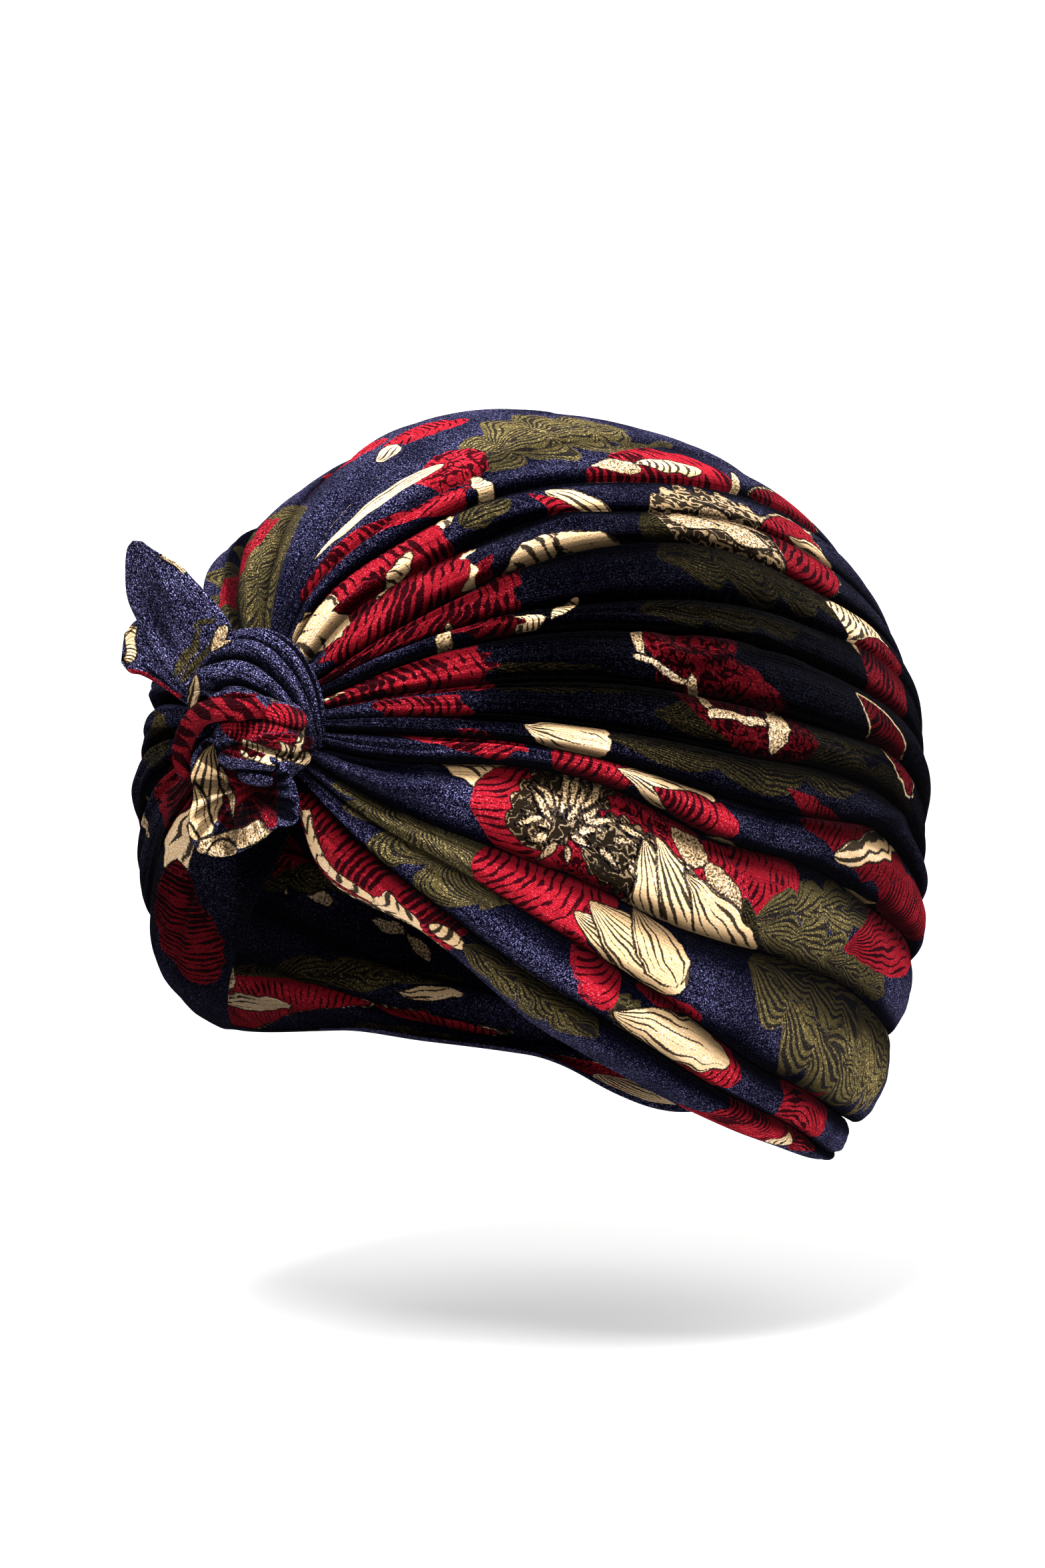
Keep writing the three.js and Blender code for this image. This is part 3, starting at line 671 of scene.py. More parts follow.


# Shapes of the print on the side that the photograph shows, from the back layer up
# colour, form, root px, tip px, width px, lines, spacing mm, cream rim mm, tone (the print's
# tone, also painted light and shade),
# and the first and last pleat where a shape keeps to some
RIM_PRINT = [
    ("red", "strip", (448, 1196), (706, 1404), 74, "hatch", 2.2, 0, 1.0, (0, 0)),
    ("cream", "strip", (446, 1222), (476, 1292), 13, "cross", 4.0, 0, 1.0, (0, 0)),
    ("cream", "strip", (470, 1282), (560, 1356), 17, "cross", 5.0, 0, 1.0, (0, 0)),
    ("cream", "strip", (554, 1346), (620, 1398), 22, "cross", 4.0, 0, 1.0, (0, 0)),
    ("cream", "oval", (640, 1386), (694, 1424), 24, "cross", 3.0, 0, 1.0, (0, 0)),
    ("olive", "leaf", (696, 1420), (890, 1552), 96, "vein", 1.7, 0, 1.2, (0, 0)),
    ("red", "strip", (1080, 1668), (1156, 1718), 80, "hatch", 2.0, 0, 1.0, (0, 0)),
    ("cream", "flame", (1160, 1744), (1184, 1694), 26, "long", 2.4, 0, 1.0, (0, 0)),
    ("red", "petal", (1180, 1740), (1240, 1676), 56, "hatch", 2.0, 0, 1.0, (0, 0)),
    ("olive", "leaf", (520, 1160), (756, 1356), 160, "vein", 2.2, 0, 1.4, (1, 2)),
    ("olive", "leaf", (780, 1470), (896, 1556), 60, "vein", 1.7, 0, 1.2, (0, 1)),
    ("red", "petal", (842, 1402), (906, 1514), 60, "cross", 2.2, 0, 1.1, (1, 2)),
    ("olive", "leaf", (900, 1492), (970, 1540), 44, "vein", 1.7, 0, 1.1, (1, 2)),
    ("red", "petal", (950, 1478), (1052, 1536), 54, "cross", 2.2, 0, 1.1, (1, 2)),
    ("red", "petal", (1000, 1540), (1114, 1622), 84, "cross", 2.2, 0, 1.05, (1, 2)),
    ("cream", "petal", (916, 1520), (1098, 1590), 74, "long", 2.3, 0, 1.0, (1, 2)),
    ("red", "petal", (1170, 1704), (1256, 1630), 84, "hatch", 2.0, 0, 0.95, (1, 2)),
]
LOW_PRINT = [
    ("red", "oval", (716, 1276), (916, 1384), 150, "cross", 2.6, 0, 1.1, (2, 2)),
    ("red", "petal", (846, 1392), (914, 1520), 66, "cross", 2.4, 0, 1.1, (1, 2)),
    ("olive", "leaf", (1126, 1440), (1290, 1650), 160, "vein", 3.0, 0, 1.7, (2, 2)),
    ("olive", "leaf", (1150, 1440), (1330, 1560), 96, "vein", 3.0, 0, 1.7, (2, 2)),
    ("olive", "leaf", (1290, 1510), (1360, 1622), 84, "vein", 2.8, 0, 1.7, (2, 2)),
    ("cream", "petal", (862, 1366), (996, 1480), 66, "long", 2.6, 0, 1.0, (2, 2)),
    ("cream", "petal", (884, 1350), (1024, 1490), 82, "long", 2.6, 0, 1.05, (2, 2)),
    ("cream", "petal", (950, 1360), (1016, 1480), 60, "long", 2.5, 0, 1.05, (2, 2)),
    ("cream", "petal", (1336, 1560), (1376, 1480), 40, "long", 2.0, 0, 1.0, (2, 2)),
    ("cream", "petal", (626, 1104), (796, 1196), 96, "long", 2.6, 0, 1.0, (3, 3)),
    ("cream", "petal", (600, 1112), (716, 1146), 40, "long", 2.0, 0, 0.9, (3, 3)),
    ("red", "oval", (742, 1150), (850, 1310), 150, "cross", 2.4, 0, 1.05, (3, 3)),
    ("red", "oval", (836, 1168), (1060, 1290), 96, "mottle", 1.9, 0, 1.0, (3, 3)),
    ("red", "oval", (820, 1230), (980, 1350), 110, "mottle", 1.8, 0, 0.75, (3, 3)),
    ("cream", "ruffle", (770, 1262), (906, 1172), 128, "stipple", 1.1, 0, 0.30, (3, 3)),
    ("cream", "ruffle", (870, 1250), (1010, 1336), 104, "stipple", 1.1, 0, 0.28, (3, 3)),
    ("cream", "flame", (830, 1232), (792, 1178), 14, "none", 2.0, 0, 1.1, (3, 3)),
    ("cream", "flame", (838, 1226), (816, 1166), 14, "none", 2.0, 0, 1.1, (3, 3)),
    ("cream", "flame", (846, 1224), (846, 1160), 13, "none", 2.0, 0, 1.1, (3, 3)),
    ("cream", "flame", (854, 1226), (880, 1170), 13, "none", 2.0, 0, 1.1, (3, 3)),
    ("cream", "flame", (826, 1240), (784, 1214), 14, "none", 2.0, 0, 1.1, (3, 3)),
    ("cream", "flame", (826, 1250), (788, 1258), 13, "none", 2.0, 0, 1.1, (3, 3)),
    ("cream", "flame", (868, 1226), (906, 1204), 11, "none", 2.0, 0, 1.1, (3, 3)),
    ("cream", "flame", (864, 1252), (910, 1240), 13, "none", 2.0, 0, 1.1, (3, 3)),
    ("cream", "flame", (860, 1262), (890, 1276), 11, "none", 2.0, 0, 1.1, (3, 3)),
    ("cream", "flame", (940, 1290), (972, 1300), 12, "none", 2.0, 0, 1.0, (3, 3)),
    ("cream", "flame", (850, 1216), (868, 1160), 10, "none", 2.0, 0, 1.0, (3, 3)),
    ("cream", "flame", (834, 1216), (800, 1164), 10, "none", 2.0, 0, 1.0, (3, 3)),
    ("cream", "flame", (870, 1216), (926, 1180), 12, "none", 2.0, 0, 1.0, (3, 3)),
    ("cream", "flame", (876, 1236), (930, 1222), 10, "none", 2.0, 0, 1.0, (3, 3)),
    ("cream", "flame", (818, 1228), (772, 1232), 10, "none", 2.0, 0, 1.0, (3, 3)),
    ("cream", "flame", (838, 1268), (806, 1296), 12, "none", 2.0, 0, 1.0, (3, 3)),
    ("cream", "flame", (852, 1272), (850, 1306), 10, "none", 2.0, 0, 1.0, (3, 3)),
    ("cream", "flame", (900, 1276), (930, 1312), 10, "none", 2.0, 0, 0.9, (3, 3)),
    ("cream", "flame", (926, 1262), (966, 1262), 9, "none", 2.0, 0, 0.9, (3, 3)),
    ("cream", "flame", (930, 1240), (980, 1252), 9, "none", 2.0, 0, 0.9, (3, 3)),
    ("cream", "flame", (944, 1300), (968, 1322), 10, "none", 2.0, 0, 1.0, (3, 3)),
    ("olive", "leaf", (1060, 1310), (1180, 1410), 96, "vein", 1.7, 0, 0.45, (3, 3)),
    ("red", "petal", (1020, 1262), (1120, 1340), 84, "cross", 2.2, 0, 1.1, (3, 3)),
    ("red", "petal", (1090, 1270), (1206, 1344), 76, "cross", 2.2, 0, 1.1, (3, 3)),
    ("red", "petal", (1120, 1320), (1200, 1400), 66, "cross", 2.2, 0, 1.0, (3, 3)),
    ("olive", "leaf", (1136, 1376), (1306, 1366), 90, "vein", 2.8, 0, 1.4, (3, 3)),
    ("olive", "leaf", (1140, 1392), (1296, 1476), 90, "vein", 2.8, 0, 1.4, (3, 3)),
    ("olive", "leaf", (1240, 1440), (1330, 1490), 56, "vein", 1.7, 0, 1.1, (3, 3)),
    ("cream", "petal", (1116, 1376), (1060, 1296), 40, "none", 2.2, 0, 1.05, (3, 3)),
    ("cream", "petal", (944, 1340), (1010, 1430), 84, "long", 2.6, 0, 1.05, (3, 3)),
    ("cream", "petal", (966, 1256), (1016, 1420), 76, "long", 2.8, 0, 1.1, (3, 3)),
    ("cream", "petal", (980, 1250), (1096, 1440), 80, "long", 2.8, 0, 1.1, (3, 3)),
    ("cream", "petal", (1004, 1240), (1064, 1290), 30, "none", 2.1, 0, 1.1, (3, 3)),
    ("cream", "petal", (1030, 1300), (1150, 1462), 74, "long", 2.8, 0, 1.0, (3, 3)),
    ("red", "petal", (1268, 1420), (1392, 1440), 130, "long", 2.6, 0, 1.1, (3, 3)),
]
MIDDLE_PRINT = [
    ("cream", "strip", (462, 1090), (530, 1076), 14, "cross", 1.8, 0, 1.1, (4, 4)),
    ("red", "strip", (526, 1090), (790, 1124), 60, "hatch", 2.6, 0, 0.95, (4, 4)),
    ("red", "oval", (830, 1130), (956, 1172), 70, "cross", 2.4, 0, 1.1, (4, 4)),
    ("cream", "petal", (926, 1150), (1080, 1216), 60, "long", 2.6, 0, 1.1, (4, 4)),
    ("cream", "petal", (1030, 1220), (1164, 1300), 50, "cross", 2.2, 0, 1.1, (4, 4)),
    ("red", "petal", (980, 1186), (1110, 1250), 54, "cross", 2.2, 0, 1.1, (4, 4)),
    ("red", "petal", (1200, 1224), (1360, 1306), 84, "cross", 2.2, 0, 0.5, (4, 4)),
    ("cream", "strip", (1256, 1286), (1392, 1336), 30, "long", 2.5, 0, 0.9, (4, 4)),
    ("cream", "petal", (1206, 1322), (1346, 1376), 46, "cross", 2.0, 0, 1.1, (4, 4)),
    ("red", "petal", (1320, 1340), (1390, 1410), 80, "cross", 2.2, 0, 0.9, (4, 4)),
    ("red", "strip", (690, 1090), (776, 1116), 36, "hatch", 2.4, 0, 1.0, (5, 5)),
    ("cream", "petal", (786, 1088), (920, 1130), 56, "long", 3.4, 0, 1.15, (5, 5)),
    ("olive", "leaf", (910, 1104), (1370, 1216), 110, "vein", 1.7, 0, 0.75, (5, 6)),
    ("olive", "leaf", (980, 1070), (1380, 1180), 90, "vein", 1.7, 0, 0.7, (6, 6)),
    ("red", "strip", (560, 1060), (700, 1066), 24, "hatch", 2.4, 0, 0.8, (5, 6)),
    ("olive", "flame", (740, 1030), (1050, 1044), 20, "vein", 1.5, 0, 0.5, (6, 7)),
    ("olive", "flame", (700, 1004), (930, 1008), 14, "vein", 1.5, 0, 0.5, (7, 7)),
    ("red", "petal", (924, 940), (1110, 976), 96, "mottle", 3.0, 0, 0.9, (6, 7)),
    ("red", "oval", (990, 990), (1216, 1136), 84, "mottle", 2.6, 0, 0.6, (6, 7)),
    ("red", "strip", (900, 934), (1130, 950), 30, "none", 2.6, 0, 1.5, (6, 7)),
    ("cream", "petal", (958, 930), (962, 996), 18, "none", 2.6, 0, 1.2, (6, 7)),
    ("cream", "strip", (962, 984), (1046, 1030), 11, "none", 2.6, 0, 1.2, (6, 7)),
    ("cream", "strip", (1036, 1024), (1072, 1072), 11, "none", 2.6, 0, 1.2, (6, 7)),
    ("cream", "strip", (1066, 1066), (1160, 1084), 11, "none", 2.6, 0, 1.2, (6, 7)),
    ("cream", "petal", (1176, 1070), (1152, 1136), 34, "none", 2.6, 0, 1.5, (6, 7)),
    ("red", "petal", (1290, 1040), (1372, 1190), 70, "cross", 2.2, 1.2, 1.0, (5, 8)),
    ("red", "petal", (1180, 1180), (1300, 1240), 50, "cross", 2.2, 0, 0.9, (5, 5)),
]
HIGH_PRINT = [
    ("olive", "leaf", (960, 910), (1262, 950), 90, "vein", 2.0, 0, 0.55, (8, 8)),
    ("olive", "leaf", (990, 830), (1270, 910), 120, "vein", 2.0, 0, 0.8, (9, 9)),
    ("olive", "leaf", (960, 790), (1230, 860), 100, "vein", 2.0, 0, 0.8, (9, 10)),
    ("cream", "petal", (720, 946), (820, 920), 30, "cross", 1.9, 0, 1.3, (8, 8)),
    ("cream", "petal", (824, 936), (866, 896), 26, "cross", 1.8, 0, 1.3, (8, 9)),
    ("cream", "petal", (1236, 894), (1350, 1020), 56, "cross", 2.6, 0, 1.5, (8, 9)),
    ("red", "petal", (1290, 960), (1362, 1070), 70, "cross", 2.2, 0, 1.4, (8, 9)),
    ("cream", "petal", (722, 872), (850, 796), 56, "cross", 4.2, 0, 0.9, (10, 10)),
    ("cream", "oval", (828, 802), (948, 810), 54, "ring", 4.6, 0, 0.9, (10, 10)),
    ("red", "strip", (708, 868), (738, 848), 26, "none", 3.0, 0, 0.7, (10, 10)),
    ("cream", "strip", (606, 874), (710, 838), 48, "cross", 5.2, 0, 1.3, (10, 10)),
    ("cream", "oval", (650, 896), (710, 880), 26, "none", 2.2, 0, 1.0, (10, 10)),
    ("cream", "flame", (816, 734), (970, 776), 44, "long", 2.6, 0, 1.15, (11, 11)),
    ("red", "flame", (900, 782), (784, 736), 44, "cross", 2.2, 0, 1.1, (11, 11)),
    ("cream", "ruffle", (970, 764), (1196, 826), 92, "stipple", 1.2, 0, 0.55, (10, 11)),
    ("cream", "flame", (1000, 772), (1090, 792), 22, "none", 1.2, 0, 1.1, (10, 11)),
    ("cream", "flame", (1080, 784), (1160, 822), 24, "none", 1.2, 0, 1.1, (10, 11)),
    ("cream", "flame", (1050, 764), (1150, 800), 16, "none", 1.2, 0, 1.1, (10, 11)),
    ("red", "petal", (1140, 790), (1260, 870), 84, "cross", 2.2, 1.0, 1.0, (9, 11)),
    ("cream", "petal", (1180, 800), (1250, 850), 26, "long", 2.2, 0, 1.0, (9, 11)),
    ("red", "petal", (880, 714), (1116, 744), 100, "hatch", 2.6, 0, 1.1, (12, 12)),
    ("cream", "flame", (1100, 706), (1122, 766), 18, "none", 2.2, 0, 1.1, (12, 12)),
    ("cream", "petal", (886, 694), (960, 702), 18, "none", 2.2, 0, 1.1, (12, 13)),
    ("cream", "petal", (950, 690), (1056, 704), 18, "cross", 2.2, 0, 1.1, (12, 13)),
    ("red", "petal", (1130, 740), (1230, 790), 54, "cross", 2.2, 1.0, 1.0, (12, 13)),
    ("olive", "leaf", (690, 704), (930, 640), 96, "vein", 2.8, 0, 1.5, (12, 18)),
    ("olive", "strip", (900, 676), (1010, 668), 8, "none", 2.0, 0, 1.2, (12, 18)),
    ("olive", "leaf", (456, 762), (352, 990), 200, "vein", 3.0, 0, 1.1, (12, 20)),
    ("red", "strip", (410, 776), (330, 910), 30, "none", 2.2, 0, 1.1, (15, 22)),
    ("red", "petal", (476, 706), (576, 660), 34, "cross", 2.2, 0, 1.0, (13, 20)),
    ("red", "petal", (572, 668), (706, 626), 34, "cross", 2.2, 0, 1.0, (13, 20)),
    ("cream", "petal", (560, 690), (600, 664), 24, "long", 2.2, 0, 1.0, (13, 20)),
    ("red", "petal", (620, 722), (728, 676), 62, "mottle", 2.4, 0, 1.0, (12, 14)),
    ("red", "strip", (450, 892), (710, 728), 84, "hatch", 2.6, 0, 1.0, (11, 13)),
    ("cream", "flame", (664, 694), (456, 850), 34, "long", 2.2, 0, 1.1, (12, 14)),
    ("cream", "petal", (700, 700), (744, 752), 28, "cross", 2.4, 0, 1.15, (12, 12)),
    ("cream", "petal", (600, 832), (672, 772), 36, "cross", 2.6, 0, 1.1, (11, 12)),
    ("olive", "oval", (690, 786), (760, 742), 34, "vein", 2.0, 0, 1.0, (11, 11)),
    ("red", "strip", (456, 956), (690, 822), 110, "hatch", 2.6, 0, 0.95, (10, 11)),
    ("cream", "petal", (556, 900), (610, 824), 26, "cross", 2.4, 0, 1.15, (10, 12)),
    ("red", "strip", (470, 1004), (740, 926), 110, "hatch", 2.6, 0, 0.85, (9, 9)),
    ("red", "strip", (476, 1016), (780, 944), 80, "hatch", 2.4, 0, 0.7, (8, 8)),
    ("cream", "oval", (652, 990), (674, 936), 24, "none", 2.2, 0, 1.1, (8, 9)),
    ("red", "strip", (480, 1054), (740, 1014), 76, "hatch", 2.8, 0, 1.0, (6, 7)),
    ("cream", "petal", (428, 1000), (500, 892), 88, "cross", 5.0, 0, 0.85, (9, 16)),
    ("red", "strip", (1180, 1232), (1340, 1290), 54, "cross", 2.4, 0, 0.30, (5, 6)),
    ("cream", "petal", (1010, 1236), (1090, 1290), 44, "cross", 3.2, 0, 0.9, (4, 5)),
    ("red", "strip", (500, 930), (560, 880), 20, "none", 2.0, 0, 0.25, (10, 12)),
    ("cream", "strip", (452, 1052), (520, 1030), 30, "cross", 2.8, 0, 1.15, (6, 9)),
]
# The wearer's right front, which the photograph shows beside the knot
FAR_FRONT_PRINT = [
    ("red", "petal", (250, 1130), (296, 1240), 60, "hatch", 2.4, 0, 0.55),
    ("cream", "petal", (286, 1206), (256, 1322), 50, "long", 4.4, 0, 1.5),
    ("red", "petal", (262, 1290), (300, 1480), 66, "hatch", 2.2, 0, 0.4),
    ("cream", "petal", (214, 1190), (222, 1260), 16, "none", 3.0, 0, 1.2),
    ("olive", "petal", (240, 1030), (300, 1010), 22, "long", 1.6, 0, 1.0),
    ("olive", "leaf", (214, 1060), (246, 1150), 40, "vein", 1.8, 0, 1.0),
]
# The inside, seen through the opening, from its lower rim up
INSIDE_PRINT = [
    ("olive", "leaf", (540, 1556), (770, 1590), 60, "vein", 1.8, 0, 1.4),
    ("red", "petal", (740, 1584), (950, 1624), 54, "cross", 2.2, 0.9, 1.3),
    ("cream", "flame", (900, 1608), (1020, 1652), 34, "long", 2.2, 0, 1.3),
    ("red", "petal", (980, 1640), (1070, 1684), 40, "cross", 2.2, 0, 1.3),
    ("red", "flame", (320, 1536), (640, 1520), 50, "cross", 2.4, 1.0, 1.4),
    ("red", "flame", (560, 1504), (770, 1544), 36, "cross", 2.4, 1.0, 1.4),
    ("cream", "petal", (330, 1502), (440, 1508), 22, "long", 2.6, 0, 1.0),
    ("cream", "petal", (590, 1486), (700, 1494), 24, "long", 2.6, 0, 1.1),
    ("olive", "leaf", (340, 1450), (700, 1466), 56, "vein", 1.8, 0, 1.2),
    ("cream", "oval", (320, 1436), (356, 1476), 34, "none", 2.4, 0, 1.3),
    ("red", "petal", (430, 1340), (680, 1436), 100, "hatch", 2.6, 1.2, 1.1),
    ("cream", "petal", (450, 1330), (506, 1350), 24, "none", 2.4, 0, 1.5),
    ("cream", "petal", (560, 1376), (610, 1400), 20, "none", 2.4, 0, 1.5),
    ("cream", "petal", (610, 1396), (650, 1436), 20, "none", 2.4, 0, 1.5),
    ("olive", "leaf", (340, 1320), (560, 1344), 48, "vein", 1.8, 0, 1.2),
    ("red", "petal", (350, 1260), (470, 1290), 46, "hatch", 2.4, 0, 0.9),
]
# The pieces of the knot, which have no pleats
BAND_PRINT = [
    ("cream", "petal", (300, 976), (342, 944), 15, "none", 2.2, 0, 1.0),
    ("cream", "petal", (258, 1110), (270, 1010), 20, "long", 2.4, 0, 0.95),
    ("red", "petal", (300, 1056), (384, 1036), 12, "none", 1.5, 0, 0.6),
]
CURL_PRINT = [
    ("red", "oval", (312, 1082), (476, 1084), 66, "hatch", 1.6, 0, 0.75),
    ("red", "petal", (330, 1130), (480, 1106), 40, "stipple", 1.3, 0, 0.5),
    ("cream", "strip", (350, 1118), (412, 1136), 26, "cross", 1.6, 0, 1.2),
    ("cream", "strip", (408, 1126), (472, 1142), 22, "cross", 1.5, 0, 1.2),
    ("cream", "flame", (440, 1136), (470, 1086), 14, "stipple", 1.5, 0, 1.1),
    ("cream", "flame", (330, 1050), (420, 1044), 9, "stipple", 1.5, 0, 0.9),
]
ROLL_PRINT = [
    ("red", "oval", (230, 1200), (395, 1036), 130, "hatch", 3.4, 0, 0.45),
]
UPPER_TAIL_PRINT = [
    ("olive", "flame", (240, 1030), (306, 926), 17, "none", 2.2, 0, 1.1),
    ("olive", "flame", (262, 1028), (330, 948), 13, "none", 2.2, 0, 1.0),
    ("olive", "strip", (300, 936), (336, 928), 8, "none", 2.2, 0, 1.0),
    ("cream", "petal", (306, 976), (344, 940), 22, "none", 2.2, 0, 1.0),
    ("cream", "strip", (236, 826), (274, 852), 8, "none", 2.2, 0, 1.0),
]
TAIL_FOLD_PRINT = [
    ("cream", "strip", (172, 1008), (196, 942), 17, "cross", 1.1, 0, 1.0),
    ("red", "strip", (168, 1012), (262, 1056), 14, "none", 2.2, 0, 1.0),
]
LOWER_TAIL_PRINT = [
    # The first red is darkened as painted shade in the tail's throat
    ("red", "oval", (350, 1110), (372, 1250), 104, "hatch", 2.4, 0, 0.16),
    ("red", "oval", (330, 1130), (352, 1226), 30, "hatch", 1.6, 0, 0.6),
    ("red", "petal", (392, 1200), (412, 1244), 24, "none", 1.6, 0, 0.7),
    ("cream", "petal", (314, 1112), (290, 1262), 62, "long", 2.4, 0, 0.95),
    ("cream", "petal", (288, 1176), (306, 1262), 34, "long", 2.6, 0, 0.9),
    ("cream", "flame", (332, 1150), (352, 1240), 14, "none", 2.2, 0, 0.9),
    ("cream", "strip", (300, 1276), (404, 1240), 24, "none", 2.6, 0, 0.9),
    ("cream", "petal", (300, 1290), (352, 1276), 30, "none", 2.6, 0, 0.9),
]

# The knot, from the same sizes as the CAD part

KNOT_CENTRE = np.array([4.0, -106.0, 76.0])
KNOT_HALF_WIDTH, KNOT_HALF_HEIGHT, KNOT_DEPTH = 20.0, 22.0, 15.0
BAND_THICKNESS = 2.4
BAND_BACK_EDGE = -13.0
# Round the ring and forward of it, in degrees: the band's front edge
BAND_SWEEP = [(-14, 16), (10, 36), (45, 66), (90, 78), (135, 60), (165, 32), (192, 14)]

# Right of, above and in front of the ring's middle, as the photograph shows it
RING_FRONT = np.array([4.0, -108.0, 76.0])
CURL_AT, CURL_HALF = (3.5, -3.5, 4), (15.5, 11.5, 8.5)
ROLL_RADIUS = 2.3
ROLL_PATH = [
    (6, 3.5, 5), (2, 4.6, 11), (-2.5, 4.2, 14.5), (-7.3, 4.2, 14.5), (-12.6, 2.4, 12.5),
    (-15.7, -1.2, 11), (-17.4, -5, 9.5), (-18, -9.7, 8), (-17, -13.5, 6.5),
]
UPPER_TAIL_THICKNESS = 3.6
# Left edge, right edge, how far forward
UPPER_TAIL = [
    ((-16.5, 6), (-4, 17), 4), ((-20.5, 11.5), (-5, 24.5), 5.5),
    ((-26.5, 19.5), (-7.3, 28.2), 7), ((-30, 25.2), (-10, 31.7), 8.5),
    ((-32.4, 31), (-14.3, 36), 10), ((-32.8, 37.8), (-18.2, 39.8), 11),
    ((-32.2, 43.2), (-25, 43.4), 12), ((-30.6, 45.5), (-28, 45.4), 12.5),
]
TAIL_FOLD_THICKNESS = 2.2
TAIL_FOLD = [
    ((-16.5, 3.5), (-15, 8.5), 2.5), ((-23.5, 8), (-21, 14.5), 3),
    ((-29.2, 10.8), (-25.5, 20.5), 3.5), ((-32.6, 11.5), (-30.2, 25), 4),
    ((-35, 14), (-34, 21.5), 4),
]
LOWER_TAIL_MIDDLE = (-1.5, -16)
LOWER_TAIL_HEM = [
    (-11, -3.5, 10), (-14.9, -8, 9), (-15.5, -13, 9), (-14.9, -18.8, 9), (-16, -23.5, 9),
    (-15.6, -29, 9.5), (-13, -32.3, 10), (-7, -33, 10.5), (-1.5, -31, 10.5), (3.3, -28, 10),
    (7, -25, 9.5), (11.6, -23.6, 9), (13, -20.5, 8.5), (12.5, -15.5, 8.5), (10.5, -11, 9),
    (7, -7.5, 10), (1, -5.5, 11), (-5.5, -3.8, 11),
]
# Size of each ring against the hem, and how far it lies behind it
LOWER_TAIL_RINGS = [
    (0.3, -6.5), (0.62, -6), (0.85, -3.5), (1, 0), (0.9, 0.9), (0.68, -1.2), (0.45, -3.6),
    (0.22, -4.2),
]


def knot_dome(around, reach, lift):
    """A point over the knot, by degrees round its ring and forward of it, and mm of lift."""
    a, b = np.radians(around), np.radians(reach)
    return np.stack([
        KNOT_CENTRE[0] + (KNOT_HALF_WIDTH + lift) * np.cos(a) * np.cos(b),
        KNOT_CENTRE[1] - (KNOT_DEPTH + lift) * np.sin(b) + 0 * a,
        KNOT_CENTRE[2] + (KNOT_HALF_HEIGHT + lift) * np.sin(a) * np.cos(b)], -1)


def knot_point(right, above, forward):
    """A point by its place right of, above and in front of the ring's middle."""
    side = (right + math.sin(turn) * forward) / math.cos(turn)
    return np.stack([side, -forward + 0 * side, above + 0 * side], -1) + RING_FRONT


def closed_rows(rows, count):
    """Rows made finer as by smooth_rows, where the last row meets the first."""
    wrapped = [rows[-1]] + list(rows) + [rows[0], rows[1]]
    fine = smooth_rows(wrapped, count * (len(wrapped) - 1) // len(rows) + 1)
    per_row = (len(fine) - 1) / (len(wrapped) - 1)
    at = per_row + np.arange(count) * per_row * len(rows) / count
    low = np.floor(at).astype(int)
    t = (at - low)[:, None]
    return mix(fine[low], fine[np.minimum(low + 1, len(fine) - 1)], t)


def band_points(sections=230, across=110, back=16):
    """The band over the knot: gathered ridges that fan out to its right."""
    around = np.linspace(BAND_SWEEP[0][0], BAND_SWEEP[-1][0], sections)[:, None]
    front = through([r[0] for r in BAND_SWEEP], [r[1] for r in BAND_SWEEP], around)
    share = np.linspace(0, 1, across)[None]
    ridge = np.abs(np.sin(np.pi * (4.5 * share ** 0.8 + 0.25 * np.sin(around / 31)))) ** 0.7
    small = np.abs(np.sin(np.pi * (13 * share + 0.6 * np.sin(around / 40)))) ** 0.7
    edge = np.clip(share / 0.05, 0, 1) * np.clip((1 - share) / 0.05, 0, 1)
    open_out = 1 - 0.45 * ease((around - 90) / 90)
    lift = (4.0 * (ridge - 0.6) + 0.8 * (small - 0.5)) * open_out
    lift = lift + 0.35 * fine_folds(around / 26 + 5, share * 9) - 1.2 * (1 - edge)
    outer = knot_dome(around, mix(BAND_BACK_EDGE, front, share), lift)
    share = np.linspace(1, 0, back)[None]
    inner = knot_dome(around, mix(BAND_BACK_EDGE, front, share), -BAND_THICKNESS + 0 * around)
    return np.concatenate([outer, inner], 1)


def curl_points(sections=120, around=180):
    """Gathered cloth in the middle of the knot, folded across."""
    polar = np.linspace(0.02, np.pi - 0.02, sections)[:, None]
    turn_about = turns(around)
    x = np.cos(polar) + 0 * turn_about
    y = np.sin(polar) * np.sin(turn_about)
    z = np.sin(polar) * np.cos(turn_about)
    crest = np.abs(np.sin(5.2 * (y + 0.28 * x ** 2) + 0.5)) ** 0.6
    small = fine_folds(9 * y + 3, 1.6 * x) * 0.035
    size = 1 + 0.20 * (crest - 0.7) * np.clip(z + 0.35, 0, 1) + small
    hook = 0.16 * np.exp(-((x - 0.75) / 0.28) ** 2 - ((y - 0.25) / 0.5) ** 2)
    size = size + hook * np.clip(z, 0, 1)
    right, above, forward = (CURL_HALF[k] * v * size for k, v in enumerate((x, y, z)))
    # The lump keeps its CAD place, so its depth runs along the object's own axis
    middle = knot_point(*(np.array(v, float) for v in CURL_AT))
    return middle + np.stack([right, -forward, above], -1)


